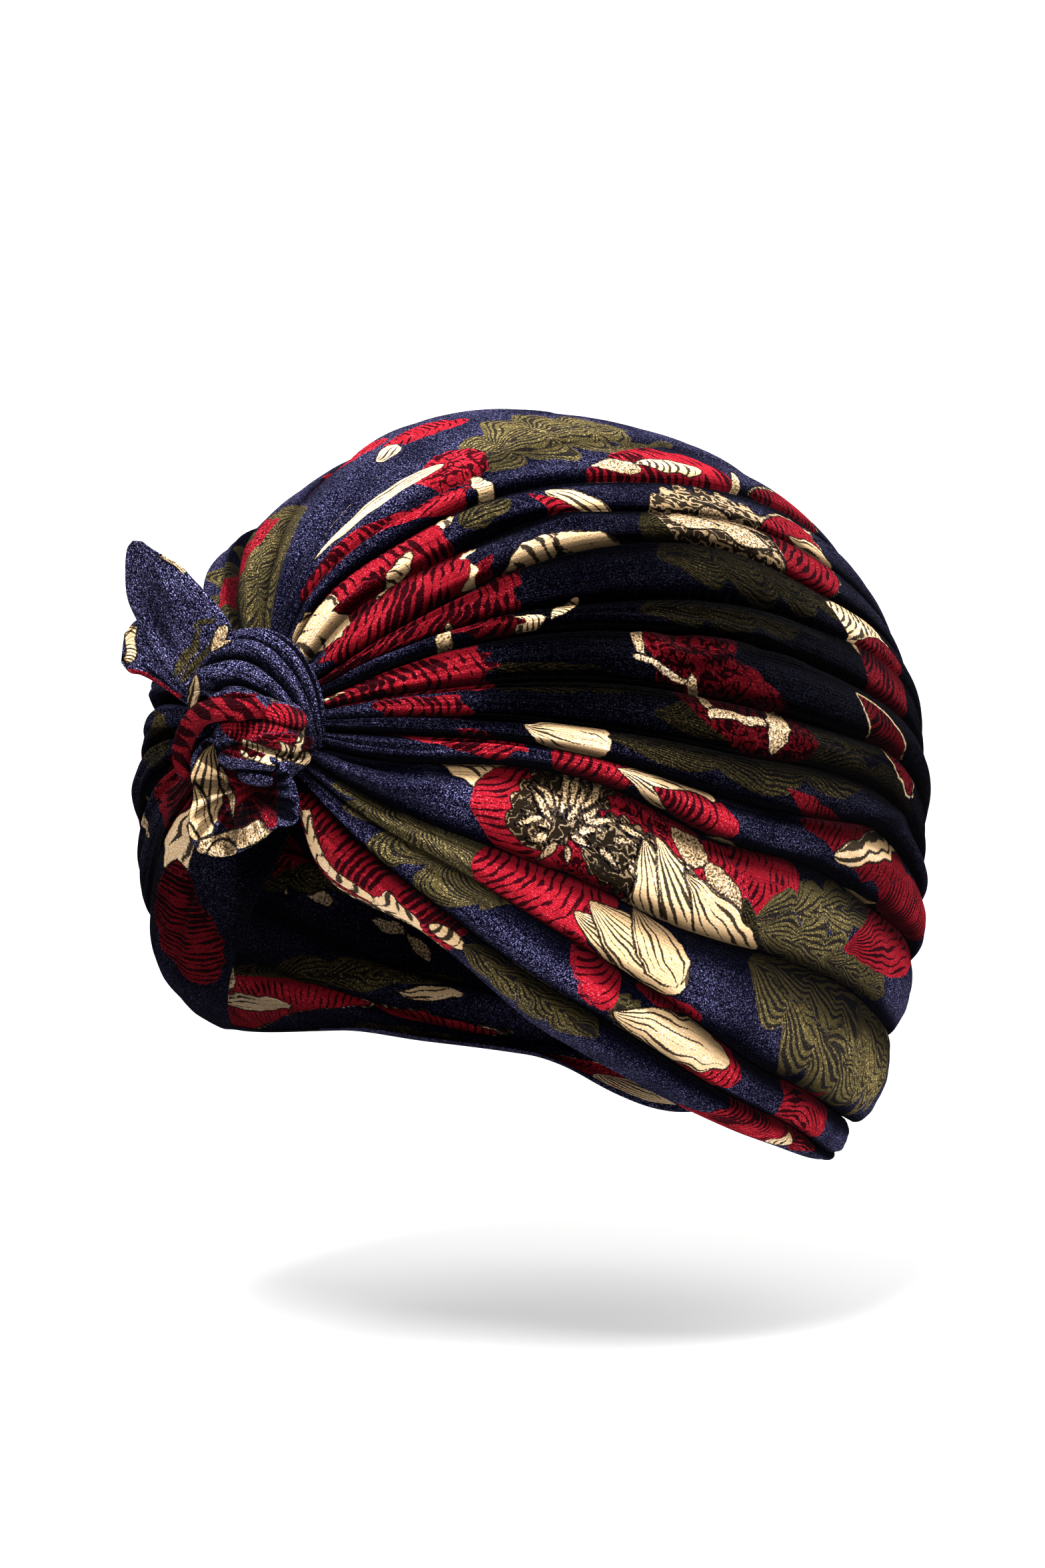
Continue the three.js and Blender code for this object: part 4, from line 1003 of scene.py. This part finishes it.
def roll_points(sections=220, around=40):
    """The rolled edge on the left of the knot."""
    path = knot_point(*smooth_rows(ROLL_PATH, sections).T)
    forward = unit(np.gradient(path, axis=0))
    side = unit(np.cross(forward, VIEW_BACK))
    out = np.cross(side, forward)
    t = np.linspace(0, 1, sections)[:, None]
    angle = turns(around)
    taper = 0.72 + 0.38 * np.sin(np.pi * np.clip(t, 0, 1) ** 0.8) ** 0.7
    ridges = 1 + 0.07 * np.sin(5 * angle + 7 * t) + 0.03 * np.sin(11 * angle - 5 * t)
    radius = 1.12 * ROLL_RADIUS * taper * ridges
    return (path[:, None] + side[:, None] * (radius * np.cos(angle))[..., None]
            + out[:, None] * (radius * np.sin(angle))[..., None])


def tail_points(table, thickness, sections, around, cup):
    """A flat tail: rounded sections from its root to its end, cupped to the front."""
    flat = [(*left, *right, forward) for left, right, forward in table]
    fine = smooth_rows(flat, sections)
    left = knot_point(fine[:, 0], fine[:, 1], fine[:, 4])
    right = knot_point(fine[:, 2], fine[:, 3], fine[:, 4])
    viewer = np.array([math.sin(turn), -math.cos(turn), 0])
    middle, half = (left + right) / 2, (right - left) / 2
    size = np.linalg.norm(half, axis=-1)
    depth = np.minimum(thickness / 2, size * 0.8)[:, None]
    angle = turns(around)
    t = np.linspace(0, 1, sections)[:, None]
    wide = np.sign(np.cos(angle)) * np.abs(np.cos(angle)) ** 0.85
    bulge = np.sign(np.sin(angle)) * np.abs(np.sin(angle)) ** 0.6
    lean = cup * (wide ** 2 - 0.4) * np.sin(np.pi * t) ** 0.7
    lean = lean + 0.5 * broad_folds(wide * 1.4 + 3, t * 3.1) * np.sin(np.pi * t)
    lean = lean + 0.22 * fine_folds(wide * 6 + 8, t * 2.2)
    return (middle[:, None] + half[:, None] * wide[..., None]
            + viewer * (depth * bulge + lean)[..., None])


def lower_tail_points(sections=130, around=220):
    """The open end of the lower tail: hem, throat and the folds that lead into it."""
    hem = closed_rows(LOWER_TAIL_HEM, around)
    rings = smooth_rows(LOWER_TAIL_RINGS, sections)
    size, back = rings[:, :1], rings[:, 1:]
    angle = np.arctan2(hem[:, 1] - LOWER_TAIL_MIDDLE[1], hem[:, 0] - LOWER_TAIL_MIDDLE[0])[None]
    t = np.linspace(0, 1, sections)[:, None]
    inward = ease((t - 0.42) / 0.2)
    folds = np.sin(5 * angle + 1.1) + 0.6 * np.sin(9 * angle + 2.2 * t + 0.4)
    left_folds = np.exp(-((np.cos(angle) + 0.75) / 0.5) ** 2)
    ripple = (0.55 + 0.9 * left_folds) * folds * np.clip(size, 0, 1)
    ripple = ripple + 0.3 * np.sin(23 * angle + 4 * t) * size
    right = mix(LOWER_TAIL_MIDDLE[0], hem[:, 0][None], size)
    above = mix(LOWER_TAIL_MIDDLE[1], hem[:, 1][None], size)
    forward = hem[:, 2][None] + back + ripple * (0.5 + 0.5 * inward)
    lift = 0.35 * fine_folds(angle * 7, t * 5) * (1 - inward)
    return knot_point(right, above, forward + lift)

# Materials

# Each colour has a dark colour and a brighter copy mixed in as painted sheen; the sparkle colours
# are painted highlights
NAVY_DEEP, NAVY = (0.0010, 0.0010, 0.0040), (0.100, 0.094, 0.200)
NAVY_HIGHLIGHT, RED_HIGHLIGHT = (0.20, 0.195, 0.40), (0.90, 0.13, 0.17)
OLIVE_HIGHLIGHT, CREAM_HIGHLIGHT = (0.42, 0.34, 0.15), (0.97, 0.94, 0.88)
RED_DEEP, RED = (0.095, 0.0014, 0.0045), (0.540, 0.018, 0.034)
CREAM_WARM, CREAM = (0.60, 0.36, 0.15), (0.90, 0.81, 0.66)
OLIVE_DEEP, OLIVE = (0.014, 0.0110, 0.004), (0.250, 0.190, 0.072)
INK = (0.0018, 0.0012, 0.0022)
RIB_SPACING = 1.05


class Paint:
    """A node tree, built up by small steps."""

    def __init__(self, name):
        self.material = bpy.data.materials.new(name)
        self.material.use_nodes = True
        self.tree = self.material.node_tree
        self.shader = self.tree.nodes["Principled BSDF"]

    def add(self, kind, **values):
        node = self.tree.nodes.new(kind)
        for key, value in values.items():
            setattr(node, key, value)
        return node

    def put(self, socket, value):
        if isinstance(value, bpy.types.NodeSocket):
            self.tree.links.new(value, socket)
        elif isinstance(value, tuple) and len(value) == 3 and socket.type == "RGBA":
            socket.default_value = (*value, 1)
        else:
            socket.default_value = value

    def compute(self, operation, a, b=0.0, c=None):
        """A maths node."""
        node = self.add("ShaderNodeMath", operation=operation)
        self.put(node.inputs[0], a)
        self.put(node.inputs[1], b)
        if c is not None:
            self.put(node.inputs[2], c)
        return node.outputs[0]

    def plus(self, a, b):
        return self.compute("ADD", a, b)

    def minus(self, a, b):
        return self.compute("SUBTRACT", a, b)

    def times(self, a, b):
        return self.compute("MULTIPLY", a, b)

    def step(self, value, low, high, out_low=0.0, out_high=1.0):
        """A smooth step from one output to the other as the value passes low to high."""
        node = self.add("ShaderNodeMapRange", interpolation_type="SMOOTHSTEP")
        for socket, given in zip(node.inputs, (value, low, high, out_low, out_high)):
            self.put(socket, given)
        return node.outputs[0]

    def blend(self, share, a, b, kind="MIX"):
        """A mix of two colours."""
        node = self.add("ShaderNodeMix", data_type="RGBA", blend_type=kind)
        self.put(node.inputs[0], share)
        self.put(node.inputs[6], a)
        self.put(node.inputs[7], b)
        return node.outputs[2]

    def attribute(self, name):
        """The three numbers that the mesh holds under a name."""
        node = self.add("ShaderNodeAttribute", attribute_name=name)
        split = self.add("ShaderNodeSeparateXYZ")
        self.put(split.inputs[0], node.outputs["Vector"])
        return split.outputs

    def noise(self, scale, detail):
        where = self.add("ShaderNodeTexCoord").outputs["Object"]
        node = self.add("ShaderNodeTexNoise")
        self.put(node.inputs["Vector"], where)
        node.inputs["Scale"].default_value = scale
        node.inputs["Detail"].default_value = detail
        return node.outputs[0]


def velvet(name, shade, ribs, navy_painted_light, relief):
    """Printed stretch velvet: navy pile with olive, red and cream shapes, with painted sheen,
    painted highlights and painted shade.
    """
    # The navy is scaled as painted light: brighter on the knot's pieces, darker on the inside
    navy = tuple(navy_painted_light * part for part in NAVY)
    navy_highlight = tuple(navy_painted_light * part for part in NAVY_HIGHLIGHT)
    paint = Paint(name)
    olive, red, cream = paint.attribute("shape")
    phase, weight, tone = paint.attribute("drawn")
    down, across, crease_shade = paint.attribute("weave_and_shade")
    grain = paint.noise(1800, 2)
    pile = paint.noise(3300, 2)
    sheen_patch_noise = paint.noise(42, 3)
    jitter = paint.times(paint.minus(grain, 0.5), 0.6)

    # Painted sheen and painted highlights: in broad patches grain specks take the brighter
    # colours, fewer in the painted crease shade and between ribs
    speck = paint.compute("MULTIPLY_ADD", paint.minus(grain, 0.5), 0.5, pile)
    sheen_patches = paint.step(sheen_patch_noise, 0.34, 0.64, 0.35, 1.0)
    rib_turn = paint.times(across, 2 * math.pi / RIB_SPACING)
    rib = paint.compute("SINE", rib_turn)
    highlight_share = paint.times(sheen_patches, paint.step(crease_shade, 0.0, 0.7, 1.0, 0.12))
    highlight_share = paint.times(highlight_share, paint.step(rib, -1.0, 1.0, 1.0 - 0.4 * ribs, 1.0))
    glint = paint.times(paint.step(speck, 0.47, 0.72), highlight_share)
    highlight_spark = paint.times(paint.step(speck, 0.61, 0.76), highlight_share)

    cycle = paint.compute("FRACT", paint.plus(phase, 0.5))
    line = paint.times(paint.compute("ABSOLUTE", paint.minus(cycle, 0.5)), 2.0)
    uneven = paint.plus(line, jitter)
    inked = paint.minus(1.0, paint.step(
        paint.minus(uneven, weight), -0.10, 0.10))

    def inside(distance):
        return paint.step(paint.plus(distance, jitter), -0.14, 0.14)

    def contour(distance, half):
        near = paint.compute("ABSOLUTE", paint.plus(distance, jitter))
        return paint.minus(1.0, paint.step(near, half, half + 0.14))

    def fill(deep, bright, highlight_colour, least, most, ink, ink_share):
        # The brighter copy goes in as painted sheen and the sparkle colour as painted highlight,
        # under the lines
        share = paint.compute("MULTIPLY_ADD", glint, most - least, least)
        filled = paint.blend(share, deep, bright)
        filled = paint.blend(highlight_spark, filled, highlight_colour)
        return paint.blend(paint.times(inked, ink_share), filled, ink)

    # Navy ground with painted sheen and painted highlights
    colour = paint.blend(paint.times(glint, 0.8), NAVY_DEEP, navy)
    colour = paint.blend(highlight_spark, colour, navy_highlight)
    colour = paint.blend(
        inside(olive), colour,
        fill(OLIVE_DEEP, OLIVE, OLIVE_HIGHLIGHT, 0.06, 0.95, NAVY_DEEP, 0.85))
    colour = paint.blend(
        inside(red), colour, fill(RED_DEEP, RED, RED_HIGHLIGHT, 0.22, 1.0, INK, 0.92))
    colour = paint.blend(
        inside(cream), colour, fill(CREAM_WARM, CREAM, CREAM_HIGHLIGHT, 0.10, 1.0, INK, 0.95))
    colour = paint.blend(paint.times(contour(cream, 0.18), 0.9), colour, INK)
    # Painted shade in the creases, and the tone and shade as painted light and shade, scale the
    # colour
    depth = paint.step(crease_shade, 0.10, 0.85, 1.0, 0.18)
    strength = paint.times(paint.times(tone, shade), depth)
    grey = paint.add("ShaderNodeCombineColor")
    for socket in grey.inputs:
        paint.put(socket, strength)
    colour = paint.blend(1.0, colour, grey.outputs[0], "MULTIPLY")
    paint.put(paint.shader.inputs["Base Color"], colour)
    paint.put(paint.shader.inputs["Roughness"], paint.step(grain, 0.3, 0.7, 0.34, 0.58))
    paint.shader.inputs["Sheen Weight"].default_value = 0.01
    paint.shader.inputs["Sheen Roughness"].default_value = 0.30
    paint.shader.inputs["Sheen Tint"].default_value = (0.80, 0.82, 1.0, 1)
    paint.shader.inputs["Specular IOR Level"].default_value = 0.0
    bump = paint.add("ShaderNodeBump")
    bump.inputs["Strength"].default_value = relief
    bump.inputs["Distance"].default_value = 0.0005
    height = paint.compute("MULTIPLY_ADD", rib, 0.45 * ribs, paint.plus(pile, grain))
    paint.put(bump.inputs["Height"], height)
    paint.put(paint.shader.inputs["Normal"], bump.outputs[0])
    return paint.material

# Meshes

def grid_faces(lines, rows, closed=False):
    """Faces of a grid. Where it is closed, its last line meets its first."""
    count = lines if closed else lines - 1
    line, row = np.meshgrid(np.arange(count), np.arange(rows - 1), indexing="ij")
    a = (line * rows + row).ravel()
    b = ((line + 1) % lines * rows + row).ravel()
    return np.stack([a, b, b + 1, a + 1], -1)


def make_piece(name, points, faces, node, material, layers, caps=()):
    """A visible piece with its material, in place of a node of the CAD part."""
    mesh = bpy.data.meshes.new(name)
    mesh.vertices.add(len(points))
    mesh.vertices.foreach_set("co", (np.asarray(points) * MM).ravel())
    corners = np.concatenate([faces.ravel(), *caps]).astype(np.int32)
    sizes = np.array([4] * len(faces) + [len(cap) for cap in caps])
    mesh.loops.add(len(corners))
    mesh.loops.foreach_set("vertex_index", corners)
    mesh.polygons.add(len(sizes))
    starts = np.concatenate([[0], np.cumsum(sizes)[:-1]]).astype(np.int32)
    mesh.polygons.foreach_set("loop_start", starts)
    mesh.update(calc_edges=True)
    mesh.polygons.foreach_set("use_smooth", np.ones(len(mesh.polygons), bool))
    for key, values in layers.items():
        layer = mesh.attributes.new(key, "FLOAT_VECTOR", "POINT")
        layer.data.foreach_set("vector", np.asarray(values, np.float32).ravel())
    piece = bpy.data.objects.new(name, mesh)
    bpy.context.scene.collection.objects.link(piece)
    mesh.materials.append(material)
    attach(piece, "root")
    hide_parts(node)


def sheet_piece(name, sheet, lines, material):
    """A piece of the wrap from some of a sheet's lines, with what is printed on it."""
    part = (lines, slice(None))
    points = sheet.points[part]
    faces = grid_faces(*points.shape[:2])
    if sheet.turned:
        faces = faces[:, ::-1]
    make_piece(
        name, points.reshape(-1, 3), faces, "wrap_body", material,
        sheet.layers(part))


WIDEST_ROW = 80.0


def cloth_coordinates(points, plain_points, rows):
    """Distance along each line of a plain surface, and across at the widest row."""
    step = np.linalg.norm(np.diff(plain_points, axis=1), axis=-1)
    down = np.concatenate([np.zeros((len(points), 1)), np.cumsum(step, 1)], 1)
    row = int(np.argmin(np.abs(rows - WIDEST_ROW)))
    step = np.linalg.norm(np.diff(points[:, row], axis=0), axis=-1)
    across = np.concatenate([[0.0], np.cumsum(step)])
    return down, np.repeat(across[:, None], len(rows), 1)


# Rims: the cloth turns in over a round edge

EDGE_LINES = 6


def add_rims(outer, inner):
    """Lines of points that carry both rims round from the inner face to the outer."""
    angle = np.linspace(0, np.pi, EDGE_LINES + 1)[:-1]
    rims = []
    for edge, beside in ((0, 1), (-1, -2)):
        middle = (outer[edge] + inner[edge]) / 2
        out = (outer[edge] - inner[edge]) / 2
        past = outer[edge] - outer[beside]
        past *= (np.linalg.norm(out, axis=-1) / np.maximum(
            np.linalg.norm(past, axis=-1), 1e-6))[:, None]
        turned = [middle - out * math.cos(a) + past * math.sin(a) for a in angle]
        rims.append(np.array(turned if edge == 0 else turned[::-1]))
    return np.concatenate([rims[0], outer, rims[1]])


def padded_lines(values, step=0.0):
    """The same value, or one that counts on by a step, on the lines of both rims."""
    low = [values[:1] - step * (EDGE_LINES - k) for k in range(EDGE_LINES)]
    high = [values[-1:] + step * (k + 1) for k in range(EDGE_LINES)]
    return np.concatenate([*low, values, *high])


# Rows of points, and how many lines of cloth for each one of the folds' tables
WRAP_ROWS, LINE_SCALE = 370, 1.7
INSIDE_ROWS, INSIDE_LINE_SCALE = 200, 0.8
EDGE_STEP = CLOTH_WALL * math.pi / 2 / EDGE_LINES


def wrap_sheet(row_count, line_scale, inside):
    """The wrap's inner face, or its outer face with both rims."""
    rows = along_rows(row_count)
    outer, pleat, share, along, crease_shade = wrap_grid(rows, line_scale)
    inner = wrap_grid(rows, line_scale, CLOTH_WALL)[0]
    bare = cloth_point(wrap_angle(pleat, share, along), along, 0 * along, 0 * along)
    down, across = cloth_coordinates(outer, bare, rows)
    if inside:
        return Sheet(inner, down, across, pleat, False, 0.5 * crease_shade)
    points = add_rims(outer, inner)
    return Sheet(
        points, padded_lines(down), padded_lines(across, EDGE_STEP), padded_lines(pleat),
        True, padded_lines(crease_shade))


wrap = wrap_sheet(WRAP_ROWS, LINE_SCALE, False)

# Flowers over the sides that the photograph doesn't show
width, length = wrap.across[-1, 0], wrap.down.max()
FLOWER_STEPS, FLOWER_LANES = 4, 6
dice = np.random.default_rng(5)
for lane in range(2 * FLOWER_LANES):
    place = np.array([dice.uniform(14, 40), width * (lane + 0.5) / (2 * FLOWER_LANES)])
    reach = np.array([dice.uniform(30, 60), dice.uniform(-4, 4)])
    draw(wrap, "red" if lane % 3 else "cream", "strip", place, place + reach,
         dice.uniform(4, 8), "hatch", 2.6, 0, 1.0)
for step in range(FLOWER_STEPS):
    for lane in range(FLOWER_LANES):
        place = np.array([
            length * (step + 0.75 + 0.45 * (lane % 2)) / (FLOWER_STEPS + 0.6),
            width * (lane + 0.5) / FLOWER_LANES]) + dice.uniform(-12, 12, 2)
        draw_flower(wrap, *place, dice.uniform(0, 360), dice.uniform(0.7, 1.05))

# The side that the photograph shows is cleared for its own print
CLEARED_FACING = 0.02
cleared = wrap.facing > CLEARED_FACING
for name, field in wrap.colours.items():
    field[cleared] = NOTHING_NEAR
wrap.weight[cleared] = 0
wrap.tone[cleared] = 1
for rows in (RIM_PRINT, LOW_PRINT, MIDDLE_PRINT, HIGH_PRINT, FAR_FRONT_PRINT):
    draw_seen(wrap, rows)

# Painted light and shade on each pleat: the middle pleats are darkened, the low and high ones
# brightened
PAINTED_LIGHT_PLEATS = [0, 3.4, 4.2, 5.5, 8.5, 9.5, 11.5, 13, 19, PLEATS]
PAINTED_LIGHT_TONES = [1.3, 1.45, 0.45, 0.07, 0.05, 0.14, 0.7, 1.2, 1.0, 1.0]
# How much of the painted light each colour shows, as a power
PAINTED_LIGHT_SHARES = {"olive": 0.65, "red": 0.48, "cream": 0.18}


def painted_light_of_pleats(sheet):
    """The painted light and shade on each pleat, softened near the gather."""
    tone = np.interp(sheet.pleat, PAINTED_LIGHT_PLEATS, PAINTED_LIGHT_TONES)
    tone = mix(0.8, tone, ease((sheet.down - 12) / 45))
    for name, share in PAINTED_LIGHT_SHARES.items():
        tone = np.where(sheet.colours[name] > 0, tone ** share, tone)
    return tone


# A cream edging along the rim of the near side, in mm along and across the cloth
draw(wrap, "cream", "strip", (6, 0.4), (64, 0.2), 2.6, "stipple", 2.4, 0, 1.0)
wrap.tone *= painted_light_of_pleats(wrap)

# The wearer's right front lies left of and below these pixels, and turns in from another
FAR_FRONT_X, FAR_FRONT_Y, FAR_FRONT_PLEAT = 480, 1090, 12
TURN_IN_X, TURN_IN_RUN = 330, 40
seen_x, seen_y = wrap.pixels[..., 0], wrap.pixels[..., 1]
far_front = cleared & (seen_x < FAR_FRONT_X) & (seen_y > FAR_FRONT_Y)
far_front &= wrap.pleat > FAR_FRONT_PLEAT
printed = np.maximum(wrap.colours["red"], wrap.colours["cream"]) > 0
turned_in = ease((seen_x - TURN_IN_X) / TURN_IN_RUN)
# Painted shade over the wearer's right front, darker on bare navy and where it turns in
wrap.tone *= np.where(
    far_front, np.where(printed, 0.45, 0.22) * mix(1.0, 0.3, turned_in), 1.0)
velvet_outside = velvet("velvet_print", 1.08, 0.3, 1.0, 0.9)
# The inside is darkened throughout as painted shade
velvet_inside = velvet("velvet_inside", 0.42, 0.25, 0.7, 0.9)
for name, first, last in (
    ("wrap_left_low", 0, 3), ("wrap_left_mid", 4, 9), ("wrap_crown", 10, 15),
    ("wrap_right", 16, PLEATS - 1)):
    mine = np.where((wrap.pleat[:, 0] >= first) & (wrap.pleat[:, 0] <= last))[0]
    lines = slice(mine[0], min(mine[-1] + 2, len(wrap.points)))
    sheet_piece(name, wrap, lines, velvet_outside)

inside = wrap_sheet(INSIDE_ROWS, INSIDE_LINE_SCALE, True)
draw_seen(inside, INSIDE_PRINT)
# The light reaches the low part of the inside, and hardly anything above it
LIT_FROM_Y, LIT_RUN = 1440, 90
lit_low = ease((inside.pixels[..., 1] - LIT_FROM_Y) / LIT_RUN)
inside.tone *= np.where(inside.facing > 0, mix(0.7, 3.2, lit_low), 1.0)
sheet_piece("wrap_inside", inside, slice(0, None), velvet_inside)


def crease_shade_of(grid, normals, rounds):
    """How deep each point of a closed grid lies below its smoothed neighbourhood, as painted
    shade from 0 on ridges to 1 in hollows.
    """
    soft = grid
    for _ in range(rounds):
        ends = np.concatenate([soft[:, :1], soft, soft[:, -1:]], 1)
        soft = (np.roll(soft, 1, 0) + np.roll(soft, -1, 0) + ends[:, :-2] + ends[:, 2:]) / 4
    proud = ((grid - soft) * normals).sum(-1)
    return np.clip(0.5 - proud / max(np.percentile(np.abs(proud), 85), 1e-6), 0, 1)


def loft_piece(name, points, motifs, slot, node, ribs, smooth=80, navy_painted_light=2.1, crease_shade_share=1.0):
    """A closed piece from a loop of points for each section, closed at both ends."""
    sections, around = points.shape[:2]
    step = np.linalg.norm(np.diff(points, axis=0), axis=-1).mean(1)
    down = np.concatenate([[0.0], np.cumsum(step)])
    edge = np.linalg.norm(np.diff(points, axis=1), axis=-1).max(0)
    across = np.concatenate([[0.0], np.cumsum(edge)])
    grid = points.transpose(1, 0, 2)
    over, on = np.gradient(grid, axis=0), np.gradient(grid, axis=1)
    flip = bool((np.cross(over, on) * (grid - points.mean((0, 1)))).sum() < 0)
    seen = to_pixels(grid) / PIXELS_PER_MM
    sheet = Sheet(grid, seen[..., 1], seen[..., 0], turned=flip)
    sheet.threads = np.repeat(across[:, None], sections, 1)
    # Painted shade in the piece's hollows, scaled by the share given
    sheet.crease_shade = crease_shade_share * crease_shade_of(grid, sheet.normals(), smooth)
    draw_seen(sheet, motifs)
    quads = grid_faces(around, sections, closed=True)
    if flip:
        quads = quads[:, ::-1]
    caps = []
    for row_index, turned in ((0, flip), (sections - 1, not flip)):
        loop = np.arange(around) * sections + row_index
        caps.append(loop if turned else loop[::-1])
    material = velvet(slot, 1.3, ribs, navy_painted_light, 1.0)
    make_piece(
        name, sheet.points.reshape(-1, 3), quads, node, material, sheet.layers(), caps)


# Each knot piece's navy is brightened as painted light, most on the upper tail
loft_piece("knot_band_cloth", band_points(), BAND_PRINT, "velvet_band", "knot_band", 0.8, 160)
loft_piece("knot_curl_cloth", curl_points(), CURL_PRINT, "velvet_curl", "knot_curl", 0.9)
loft_piece("knot_roll_cloth", roll_points(), ROLL_PRINT, "velvet_roll", "knot_roll", 0.6)
loft_piece(
    "tail_upper_cloth", tail_points(UPPER_TAIL, UPPER_TAIL_THICKNESS, 170, 150, 1.3),
    UPPER_TAIL_PRINT, "velvet_tail_upper", "tail_upper", 1.0, 80, 3.2, 0.4)
loft_piece(
    "tail_fold_cloth", tail_points(TAIL_FOLD, TAIL_FOLD_THICKNESS, 110, 110, -0.8),
    TAIL_FOLD_PRINT, "velvet_tail_fold", "tail_upper_fold", 0.8, 80, 2.6)
loft_piece(
    "tail_lower_cloth", lower_tail_points(), LOWER_TAIL_PRINT, "velvet_tail_lower",
    "tail_lower", 0.6)

# Floor, light and camera

def stage():
    """A pale floor that curves up into a wall, in metres."""
    floor_level, reach, wall = -0.088, 2.0, 1.8
    bend, steps = 0.6, 24
    profile = [(-reach, floor_level)]
    for k in range(steps + 1):
        t = math.radians(90 * k / steps)
        profile.append((wall - bend + bend * math.sin(t), floor_level + bend * (1 - math.cos(t))))
    profile.append((wall, reach))
    forward = -np.array([VIEW_BACK[0], VIEW_BACK[1], 0.0]) / math.cos(rise)
    points = []
    for distance, height in profile:
        for side in (-reach, reach):
            p = forward * distance + VIEW_RIGHT * side
            points.append((p[0], p[1], height))
    faces = [(2 * k, 2 * k + 1, 2 * k + 3, 2 * k + 2) for k in range(len(profile) - 1)]
    mesh = bpy.data.meshes.new("floor")
    mesh.from_pydata(points, [], faces)
    floor = bpy.data.objects.new("floor", mesh)
    bpy.context.scene.collection.objects.link(floor)
    for polygon in mesh.polygons:
        polygon.use_smooth = True
    material = bpy.data.materials.new("pale_floor")
    material.use_nodes = True
    shader = material.node_tree.nodes["Principled BSDF"]
    shader.inputs["Base Color"].default_value = (0.26, 0.26, 0.26, 1)
    shader.inputs["Roughness"].default_value = 0.9
    shader.inputs["Emission Color"].default_value = (1, 1, 1, 1)
    # The floor glows whiter away from the shadow, so that it meets the white background
    nodes, links = material.node_tree.nodes, material.node_tree.links
    place = nodes.new("ShaderNodeTexCoord")
    distance = nodes.new("ShaderNodeVectorMath")
    distance.operation = "LENGTH"
    glow = nodes.new("ShaderNodeMapRange")
    for socket, value in zip(glow.inputs[1:5], (0.5, 1.3, 0.50, 1.05)):
        socket.default_value = value
    links.new(place.outputs["Object"], distance.inputs[0])
    links.new(distance.outputs["Value"], glow.inputs[0])
    links.new(glow.outputs[0], shader.inputs["Emission Strength"])
    mesh.materials.append(material)


def area_light(name, turn_deg, rise_deg, distance, size, power):
    """A light turned to the object: degrees, metres and watts."""
    a, e = math.radians(turn_deg), math.radians(rise_deg)
    place = Vector((
        math.sin(a) * math.cos(e), -math.cos(a) * math.cos(e), math.sin(e))) * distance
    data = bpy.data.lights.new(name, "AREA")
    data.shape = "RECTANGLE"
    data.size, data.size_y = size
    data.energy = power
    lamp = bpy.data.objects.new(name, data)
    target = Vector((0, 0, 0.05))
    lamp.location = place + target
    lamp.rotation_euler = (target - lamp.location).to_track_quat("-Z", "Y").to_euler()
    bpy.context.scene.collection.objects.link(lamp)


stage()
area_light("key", 26, 58, 1.6, (0.6, 0.6), 80)
area_light("top", VIEW_TURN + 135, 62, 1.5, (3.6, 4.0), 116)
area_light("fill", 62, 0, 1.7, (0.8, 0.8), 24)

world = bpy.data.worlds.new("studio")
world.use_nodes = True
backdrop = world.node_tree.nodes["Background"]
backdrop.inputs[0].default_value = (1, 1, 1, 1)
seen = world.node_tree.nodes.new("ShaderNodeLightPath").outputs["Is Camera Ray"]
level = world.node_tree.nodes.new("ShaderNodeMapRange")
level.inputs["To Min"].default_value = 0.04
level.inputs["To Max"].default_value = 1.0
world.node_tree.links.new(seen, level.inputs["Value"])
world.node_tree.links.new(level.outputs[0], backdrop.inputs[1])
bpy.context.scene.world = world
bpy.context.scene.view_settings.view_transform = "Standard"

camera_data = bpy.data.cameras.new("camera")
camera_data.sensor_width = 36
camera_data.lens = camera_data.sensor_width * VIEW_DISTANCE / VIEW_HEIGHT
camera_data.clip_end = 20
camera = bpy.data.objects.new("camera", camera_data)
side_step = (PHOTO_SIZE[0] / 2 - TARGET_PIXEL[0]) / PIXELS_PER_MM
aim = VIEW_TARGET + VIEW_RIGHT * side_step
camera.location = Vector((aim + VIEW_BACK * VIEW_DISTANCE) * MM)
camera.rotation_euler = Vector(-VIEW_BACK).to_track_quat("-Z", "Y").to_euler()
bpy.context.scene.collection.objects.link(camera)
bpy.context.scene.camera = camera
